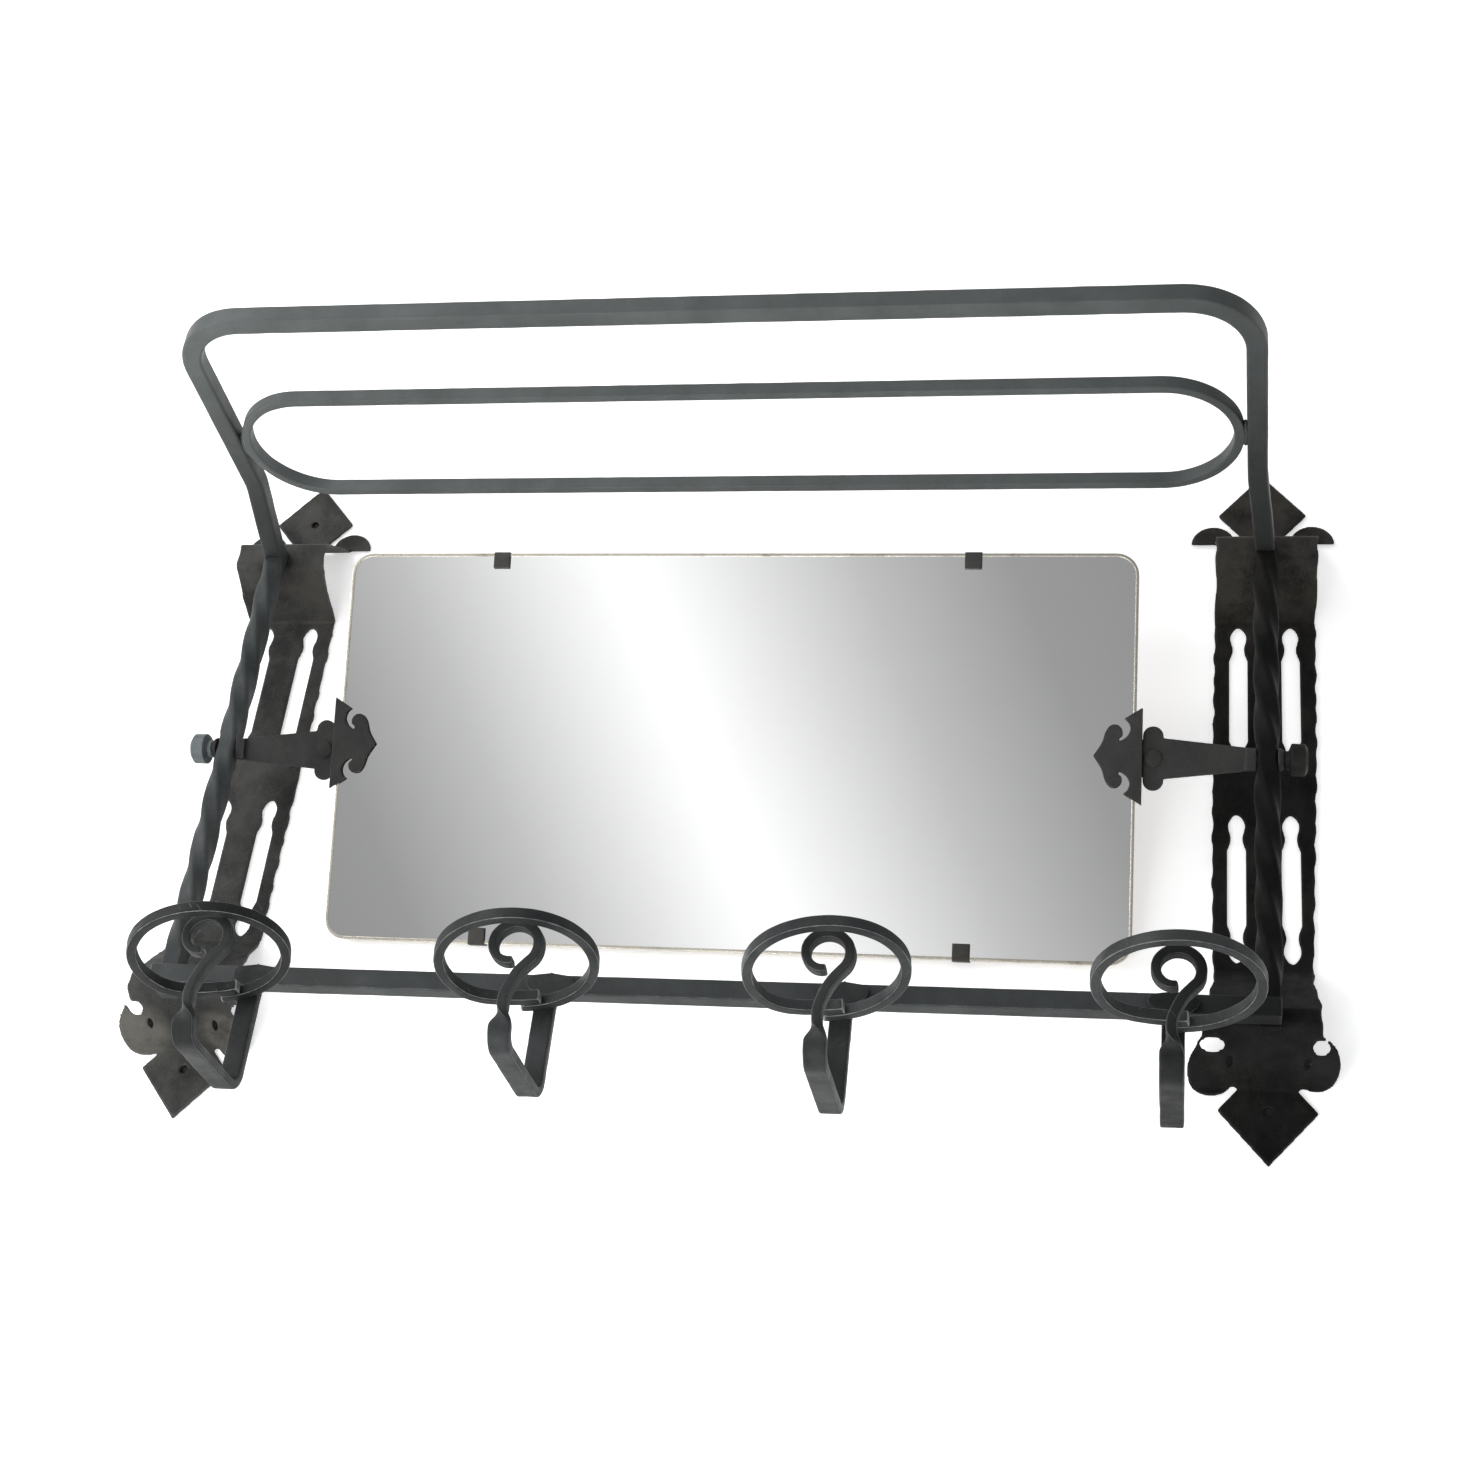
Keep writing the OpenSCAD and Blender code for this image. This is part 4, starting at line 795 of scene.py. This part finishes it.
def makeHook(i, x, s):
    path, downLength, bottom = hookPath(i, s)
    far = distanceAlong(path)
    tangent = tangents(path)
    ease = s["twistEase"]
    rising = smoothStep((far - downLength + s["neck"] + ease) / (s["neck"] + 2 * ease))
    turn = rising * np.pi / 2
    wide = np.stack([np.cos(turn), -np.sin(turn), 0 * turn], -1)
    across = squareTo(wide, tangent)
    up = np.cross(tangent, across)
    share = 1 - far / s["leafHeight"]
    leaf = np.interp(share, leafShares[:, 0], leafShares[:, 1]) * s["leafWidth"]
    width = np.where(share > 0, leaf, s["width"] + (s["scrollWidth"] - s["width"]) * rising)
    swell = smoothStep((far - 0.5 * s["leafHeight"]) / (0.9 * s["leafHeight"]))
    tip = smoothStep(far / (0.4 * s["leafHeight"]))
    thin = s["leafThick"] * (s["leafEdge"] + (1 - s["leafEdge"]) * tip)
    thick = thin + (s["thick"] - thin) * swell
    head = far < 3 * s["leafHeight"]
    path = path.copy()
    path[:, 1] = np.where(head, s["barFront"] - thick / 2, path[:, 1])
    left = far[-1] - far
    thick = thick * (s["endThin"] + (1 - s["endThin"]) * smoothStep(left / s["endLength"]))
    radius = np.minimum(s["radius"], 0.42 * thick)
    section, edge = barSection(width, thick, radius, 5, 4)
    path = path + np.array([x, 0, 0])
    part = carry(path, across, up, section, edge, endRadius=s["endRadius"])
    # the front of the bow under the twist is rubbed by what hangs there; the lighter patch there is also a
    # painted highlight, where the bend turns towards the light
    away = part["grid"] - np.array([x, s["frontY"], bottom + s["wornUp"]])
    worn = np.exp(-(away ** 2).sum(-1) / s["wornRadius"] ** 2)
    part["edge"] = np.maximum(part["edge"], s["worn"] * worn)
    forge(f"hook_{i + 1}_forged", f"hook_{i + 1}", part, s, 51 + i, iron[f"hook{i + 1}"])


for i, x in enumerate(hookLook["places"]):
    makeHook(i, x, hookLook)
print("hooks: four")

# Sheet parts: the solid's own form with its edges softened and its skin hammered

sheetLook = {
    "plate": {"voxel": 0.00115, "soften": 5, "dents": 0.0007, "size": 0.013},
    "clasp": {"voxel": 0.0006, "soften": 4, "dents": 0.0003, "size": 0.008},
    "arm": {"voxel": 0.0006, "soften": 4, "dents": 0.0004, "size": 0.009},
}


softenMoves = [0.6, -0.62]  # in, then out again a little more, so that nothing shrinks


def neighbourMean(co, pairs, moves):
    # each point goes a share of the way to the mean of its neighbours; a share below 0 swells the form again
    count = np.bincount(pairs.ravel(), minlength=len(co))[:, None]
    for share in moves:
        total = np.zeros_like(co)
        for k in range(3):
            total[:, k] = np.bincount(pairs[:, 0], co[pairs[:, 1], k], len(co))
            total[:, k] += np.bincount(pairs[:, 1], co[pairs[:, 0], k], len(co))
        co = co + share * (total / count - co)
    return co


def forgedCopy(node, material, s, seed):
    mesh = frame["nodes"][node].data.copy()
    work = bmesh.new()
    work.from_mesh(mesh)
    bmesh.ops.remove_doubles(work, verts=work.verts, dist=1e-6)
    work.to_mesh(mesh)
    work.free()
    draft = bpy.data.objects.new("draft", mesh)
    bpy.context.scene.collection.objects.link(draft)
    remesh = draft.modifiers.new("remesh", "REMESH")
    remesh.mode, remesh.voxel_size = "VOXEL", s["voxel"]
    made = bpy.data.meshes.new_from_object(draft.evaluated_get(bpy.context.evaluated_depsgraph_get()))
    bpy.data.objects.remove(draft)
    co = np.empty(len(made.vertices) * 3)
    made.vertices.foreach_get("co", co)
    co = co.reshape(-1, 3)
    pairs = np.empty(len(made.edges) * 2, np.int64)
    made.edges.foreach_get("vertices", pairs)
    pairs = pairs.reshape(-1, 2)
    co = neighbourMean(co, pairs, softenMoves * s["soften"])
    made.vertices.foreach_set("co", co.ravel())
    made.update()
    normal = np.empty(len(co) * 3)
    made.vertex_normals.foreach_get("vector", normal)
    normal = normal.reshape(-1, 3)
    bulge = ((co - neighbourMean(co, pairs, [1.0] * 6)) * normal).sum(-1)
    edge = smoothStep(bulge / (0.45 * s["voxel"]))
    low = dentDepth(co, s["size"], 0.4, seed)
    flat = smoothStep((np.abs(normal[:, 1]) - 0.35) / 0.4)  # cut walls and rims keep their outline
    co = co - normal * (s["dents"] * low * flat)[:, None]
    made.vertices.foreach_set("co", co.ravel())
    made.update()
    made.name = node + "_forged"
    setEdge(made, edge)
    addPiece(node + "_forged", made, node, material)
    return len(made.polygons)


for seed, (node, kind, finish) in enumerate([
        ("left_wall_plate", "plate", "plateLeft"), ("right_wall_plate", "plate", "plateRight"),
        ("left_clasp", "clasp", "pivotLeft"), ("right_clasp", "clasp", "pivotRight"),
        ("left_arm", "arm", "pivotLeft"), ("right_arm", "arm", "pivotRight")]):
    print("sheet part:", node, forgedCopy(node, iron[finish], sheetLook[kind], 60 + 2 * seed), "faces")

# Dark pins in the small holes of the lobes: painted shade, standing in for the dark seen through the holes

shadePlugLook = {"x": 0.43, "out": 0.028, "y": -0.0229, "z": -0.2415, "radius": 0.00245, "slope": 1.75,
            "thick": 0.0016}


def makeShadePlug(name, node, x, s):
    # a slice of a round pin, cut to the plate's slope: point = centre + radius * (cos, slope * sin, sin)
    turn = np.linspace(0, 2 * np.pi, 25)[:-1]
    depth = np.array([0.5, 0.42, -0.42, -0.5])[:, None] * s["thick"]
    size = np.array([0.86, 1.0, 1.0, 0.86])[:, None] * s["radius"]
    grid = np.stack([x + size * np.cos(turn), s["y"] - s["slope"] * size * np.sin(turn) - depth,
                     s["z"] + size * np.sin(turn)], -1)
    part = {"grid": grid, "edge": np.zeros(grid.shape[:2]), "closed": False}
    buildPiece(name, node, [part], iron["postRight"], replaces=False)


for word, side in (("left", -1), ("right", 1)):
    for place, out in (("outer", 1), ("inner", -1)):
        shadePlugX = side * (shadePlugLook["x"] + out * shadePlugLook["out"])
        makeShadePlug(f"{word}_{place}_plug", word + "_wall_plate", shadePlugX, shadePlugLook)
print("plugs: four")

# Turned parts: a profile carried round an axis

turnedLook = {
    "y": -0.064, "z": -0.006, "collarX": 0.438, "knobX": 0.4428,
    "collar": [(0.0, 0.0), (0.0, 0.0095), (0.0018, 0.0093), (0.0045, 0.0076), (0.0045, 0.0)],
    "knob": [(0.0, 0.0), (0.0, 0.0072), (0.003, 0.0071), (0.0054, 0.0129), (0.0156, 0.0129),
             (0.018, 0.0094), (0.018, 0.0)],
    "rivet": [(0.0, 0.0), (0.0, 0.0074), (0.0006, 0.0073), (0.0013, 0.0058), (0.0017, 0.0032),
              (0.0018, 0.0)],
    "step": 0.0005, "wornBend": 0.35, "dentSize": 0.006, "tilt": 20.5, "headOut": 0.002,
}


def turned(name, node, profile, origin, axis, material, rounding, dents, seed):
    # point = origin + axis * along + radius * (cos, sin) in the plane across the axis
    line = evenly(roundCorners(np.array(profile), rounding, 5), turnedLook["step"])
    axis = unit(np.asarray(axis, float))
    side = unit(np.cross(axis, [0.3, 0.5, 0.8]))
    other = np.cross(axis, side)
    turn = np.linspace(0, 2 * np.pi, 65)[:-1]
    ring = np.cos(turn)[:, None] * side + np.sin(turn)[:, None] * other
    radius = np.maximum(line[:, 1], 1e-5)
    grid = np.asarray(origin) + axis * line[:, :1, None] + ring * radius[:, None, None]
    slope = tangents(line)
    out = ring * slope[:, 0, None, None] - axis * slope[:, 1, None, None]
    bend = np.linalg.norm(np.gradient(slope, axis=0), axis=1)
    edge = np.broadcast_to(smoothStep(bend / turnedLook["wornBend"])[:, None], grid.shape[:2])
    part = {"grid": grid, "out": out, "edge": edge, "closed": False}
    buildPiece(name, node, [hammered(part, dents, turnedLook["dentSize"], seed)], material)


tilt, pivot = np.radians(turnedLook["tilt"]), np.array([0, turnedLook["y"], turnedLook["z"]])
forward = np.array([0, -np.cos(tilt), -np.sin(tilt)])  # the way the tipped mirror looks
for side, word, seed in ((-1, "left", 70), (1, "right", 80)):
    t, outward = turnedLook, (side, 0, 0)
    turned(word + "_collar_turned", word + "_collar", t["collar"], (side * t["collarX"], t["y"], t["z"]),
           outward, iron["pivot" + word.title()], rounding=0.0006, dents=0.0002, seed=seed)
    turned(word + "_knob_turned", word + "_knob", t["knob"], (side * t["knobX"], t["y"], t["z"]),
           outward, iron["knob" + word.title()], rounding=0.0009, dents=0.0005, seed=seed + 2)
    low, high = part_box(word + "_arm_rivet")
    middle = (np.array(low) + np.array(high)) / 2
    head = np.array([middle[0], pivot[1], pivot[2]]) + forward * t["headOut"]
    turned(word + "_arm_rivet_head", word + "_arm_rivet", t["rivet"], head, forward,
           iron["pivot" + word.title()], rounding=0.0003, dents=0.0003, seed=seed + 4)
print("turned parts: collars, knobs, rivets")

# Mirror: glass, rim, board and edge clips

mirrorLook = {"halfWidth": 0.3295, "halfHeight": 0.164, "corner": 0.018, "rise": 0.003, "roll": 0.4,
              "front": -0.0048, "back": 0.0038, "wall": 0.0008, "lip": 0.0025, "step": 0.003,
              "rimRadius": 0.00028, "clipX": 0.1977, "clipWidth": 0.014, "clipLength": 0.013,
              "clipThick": 0.0012, "clipBend": 0.0011, "clipStep": 0.0008, "clipDents": 0.00012,
              "clipDentSize": 0.005}


def seated(points, s):
    # from the mirror's own plane to the room: rolled, lifted, tipped forward about the pivots
    roll = np.radians(s["roll"])
    x = points[..., 0] * np.cos(roll) + points[..., 2] * np.sin(roll)
    z = points[..., 2] * np.cos(roll) - points[..., 0] * np.sin(roll) + s["rise"]
    y = points[..., 1]
    tipped = [x, y * np.cos(tilt) - z * np.sin(tilt), y * np.sin(tilt) + z * np.cos(tilt)]
    return np.stack(tipped, -1) + pivot


def turnOnly(v, s):
    zero = np.zeros(3)
    return seated(np.asarray(v, float), s) - seated(zero, s)


def makeRim(s):
    corners = [(s["halfWidth"], 0, s["halfHeight"]), (-s["halfWidth"], 0, s["halfHeight"]),
               (-s["halfWidth"], 0, -s["halfHeight"]), (s["halfWidth"], 0, -s["halfHeight"])]
    flat = evenly(roundCorners(corners, s["corner"], 12, True), s["step"], True)
    tangent = tangents(flat, True)
    outward = np.cross(tangent, [0, 1.0, 0])
    outward *= np.sign((outward * flat).sum(-1, keepdims=True))
    w, f, b, lip = s["wall"], s["front"], s["back"], s["lip"]
    section = [(0, f), (0, b), (-lip, b), (-lip, b - w), (-w, b - w), (-w, f + w), (-lip, f + w), (-lip, f)]
    section = roundCorners(np.array(section), s["rimRadius"], 3, True)
    path = seated(flat, s)
    across, up = turnOnly(outward, s), np.broadcast_to(turnOnly([0, 1.0, 0], s), path.shape)
    edge = np.zeros((1, len(section)))
    part = carry(path, across, up, section[None], edge, True)
    buildPiece("mirror_rim_drawn", "mirror_rim", [part], rimMetal)


def makeClip(node, x, up, s):
    # a strip bent round the rim, with one lip before the glass and one behind the board
    t = s["clipThick"]
    f, b = s["front"] - t / 2, s["back"] + t / 2
    top, tip = s["halfHeight"] + t / 2, s["halfHeight"] - s["clipLength"]
    line = np.array([(f, tip), (f, top), (b, top), (b, tip)]) * [1, up]
    line = evenly(roundCorners(line, s["clipBend"], 5), s["clipStep"])
    path = np.stack([np.full(len(line), x), line[:, 0], line[:, 1]], -1)
    tangent = tangents(path)
    across = np.broadcast_to([1.0, 0, 0], path.shape)
    upward = np.cross(tangent, across)
    section, edge = barSection(s["clipWidth"], t, t * 0.4, 8, 3)
    part = carry(seated(path, s), turnOnly(across, s), turnOnly(upward, s), section, edge, endRadius=0.0004)
    part = hammered(part, s["clipDents"], s["clipDentSize"], 90)
    buildPiece(node + "_bent", node, [part], iron["clip"])


makeRim(mirrorLook)
for node, x, up in (("clip_top_left", -1, 1), ("clip_top_right", 1, 1), ("clip_bottom_left", -1, -1),
                    ("clip_bottom_right", 1, -1)):
    makeClip(node, x * mirrorLook["clipX"], up, mirrorLook)
for node, material in (("mirror_glass", mirrorGlass), ("mirror_backing", hardboard)):
    mesh = frame["nodes"][node].data
    mesh.materials.clear()
    mesh.materials.append(material)
print("mirror: glass, rim, board and clips")

# Room: white wall, pale floor, soft light

roomLook = {"wallY": 0.0006, "floorZ": -1.65, "panelY": -3.0, "worldStrength": 0.62, "wallGlow": 0.48,
            "screwX": 0.43, "screwZ": 0.272, "holeShade": 0.0048, "holeShadeY": 0.0003}
lights = [
    ("keyLight", (-1.7, -1.9, 1.7), (0, -0.1, 0), 1.3, 24),
    ("leftLight", (-1.5, -1.1, -0.1), (-0.3, -0.1, 0), 0.8, 14),
    ("lowLight", (-0.5, -1.2, -1.4), (0, -0.1, -0.1), 0.9, 12),
]


def makeStagePlane(name, corners, material):
    mesh = bpy.data.meshes.new(name)
    mesh.from_pydata(corners, [], [tuple(range(len(corners)))])
    mesh.materials.append(material)
    plane = bpy.data.objects.new(name, mesh)
    bpy.context.scene.collection.objects.link(plane)
    return plane


def makePaint(name, colour, glow):
    # matt paint, seen from its front only, so that the object can be looked at from behind
    material, tree, shader, vector = startMaterial(name)
    shade = remap(tree, noise(tree, vector, 3.0), 0.3, 0.7)
    tone = blendColour(tree, shade, (*colour, 1), (*(v * 0.985 for v in colour), 1))
    tree.links.new(tone, shader.inputs["Base Color"])
    shader.inputs["Roughness"].default_value = 0.9
    shader.inputs["Emission Color"].default_value = (1, 1, 1, 1)
    shader.inputs["Emission Strength"].default_value = glow
    addBump(tree, shader, noise(tree, vector, 500.0), 0.05, 0.001)
    clear = tree.nodes.new("ShaderNodeBsdfTransparent")
    behind = tree.nodes.new("ShaderNodeNewGeometry").outputs["Backfacing"]
    mixed = put(tree, "ShaderNodeMixShader", None, {0: behind, 1: shader.outputs[0], 2: clear.outputs[0]})
    tree.links.new(mixed.outputs[0], tree.nodes["Material Output"].inputs["Surface"])
    return material


def makePanelGlow():
    # a tall soft light: brightest along a leaning line, fading to both sides
    material = bpy.data.materials.new("panelGlow")
    material.use_nodes = True
    tree = material.node_tree
    tree.nodes.clear()
    vector = tree.nodes.new("ShaderNodeTexCoord").outputs["Object"]
    split = put(tree, "ShaderNodeSeparateXYZ", None, {0: vector}).outputs
    lean = plus(tree, split["X"], times(tree, split["Z"], 0.38))
    off = maths(tree, "ABSOLUTE", plus(tree, lean, 0.869))
    ramp = tree.nodes.new("ShaderNodeValToRGB")
    tree.links.new(maths(tree, "DIVIDE", off, 1.6, True), ramp.inputs[0])
    stops = [(0.0, 1.12), (0.103, 0.93), (0.206, 0.735), (0.31, 0.555), (0.41, 0.44), (0.51, 0.34),
             (1.0, 0.22)]
    while len(ramp.color_ramp.elements) < len(stops):
        ramp.color_ramp.elements.new(0.5)
    for element, (place, level) in zip(ramp.color_ramp.elements, stops):
        element.position = place
        element.color = (level, level, level, 1)
    glow = put(tree, "ShaderNodeEmission", None, {"Color": ramp.outputs[0], "Strength": 1.0})
    out = tree.nodes.new("ShaderNodeOutputMaterial")
    tree.links.new(glow.outputs[0], out.inputs["Surface"])
    return material


def makeLight(name, place, aim, size, power):
    data = bpy.data.lights.new(name, "AREA")
    data.shape, data.size, data.energy = "SQUARE", size, power
    light = bpy.data.objects.new(name, data)
    bpy.context.scene.collection.objects.link(light)
    light.location = place
    light.rotation_euler = (Vector(aim) - Vector(place)).to_track_quat("-Z", "Y").to_euler()


y, z, p = roomLook["wallY"], roomLook["floorZ"], roomLook["panelY"]
makeStagePlane("wall", [(-6, y, z), (6, y, z), (6, y, 4), (-6, y, 4)],
               makePaint("wallPaint", (0.93, 0.93, 0.93), roomLook["wallGlow"]))
makeStagePlane("floor", [(-6, -8, z), (6, -8, z), (6, y, z), (-6, y, z)],
               makePaint("floorPaint", (0.86, 0.86, 0.85), 0.0))
# dark discs on the wall behind the plates' screw holes: painted shade, so that the holes look dark
holeShadePaint = makePaint("holeShadePaint", (0.012, 0.011, 0.01), 0.0)
for x in (-roomLook["screwX"], roomLook["screwX"]):
    for h in (-roomLook["screwZ"], roomLook["screwZ"]):
        turn = np.linspace(0, 2 * np.pi, 25)[:-1]
        ring = roomLook["holeShade"] * np.stack([np.cos(turn), 0 * turn, np.sin(turn)], -1)
        makeStagePlane(f"drilled_{x:+}_{h:+}", (ring + [x, roomLook["holeShadeY"], h]).tolist(), holeShadePaint)
panelCorners = [(-3.4, p, -1.6), (-3.4, p, 1.3), (2.4, p, 1.3), (2.4, p, -1.6)]
panel = makeStagePlane("panel", panelCorners, makePanelGlow())
panel.visible_camera = False
for name, place, aim, size, power in lights:
    makeLight(name, place, aim, size, power)
world = bpy.data.worlds.new("studio")
bpy.context.scene.world = world
world.use_nodes = True
world.node_tree.nodes["Background"].inputs["Color"].default_value = (0.97, 0.98, 1.0, 1)
world.node_tree.nodes["Background"].inputs["Strength"].default_value = roomLook["worldStrength"]
bpy.context.scene.view_settings.view_transform = "Standard"
print("room: wall, floor and lights")
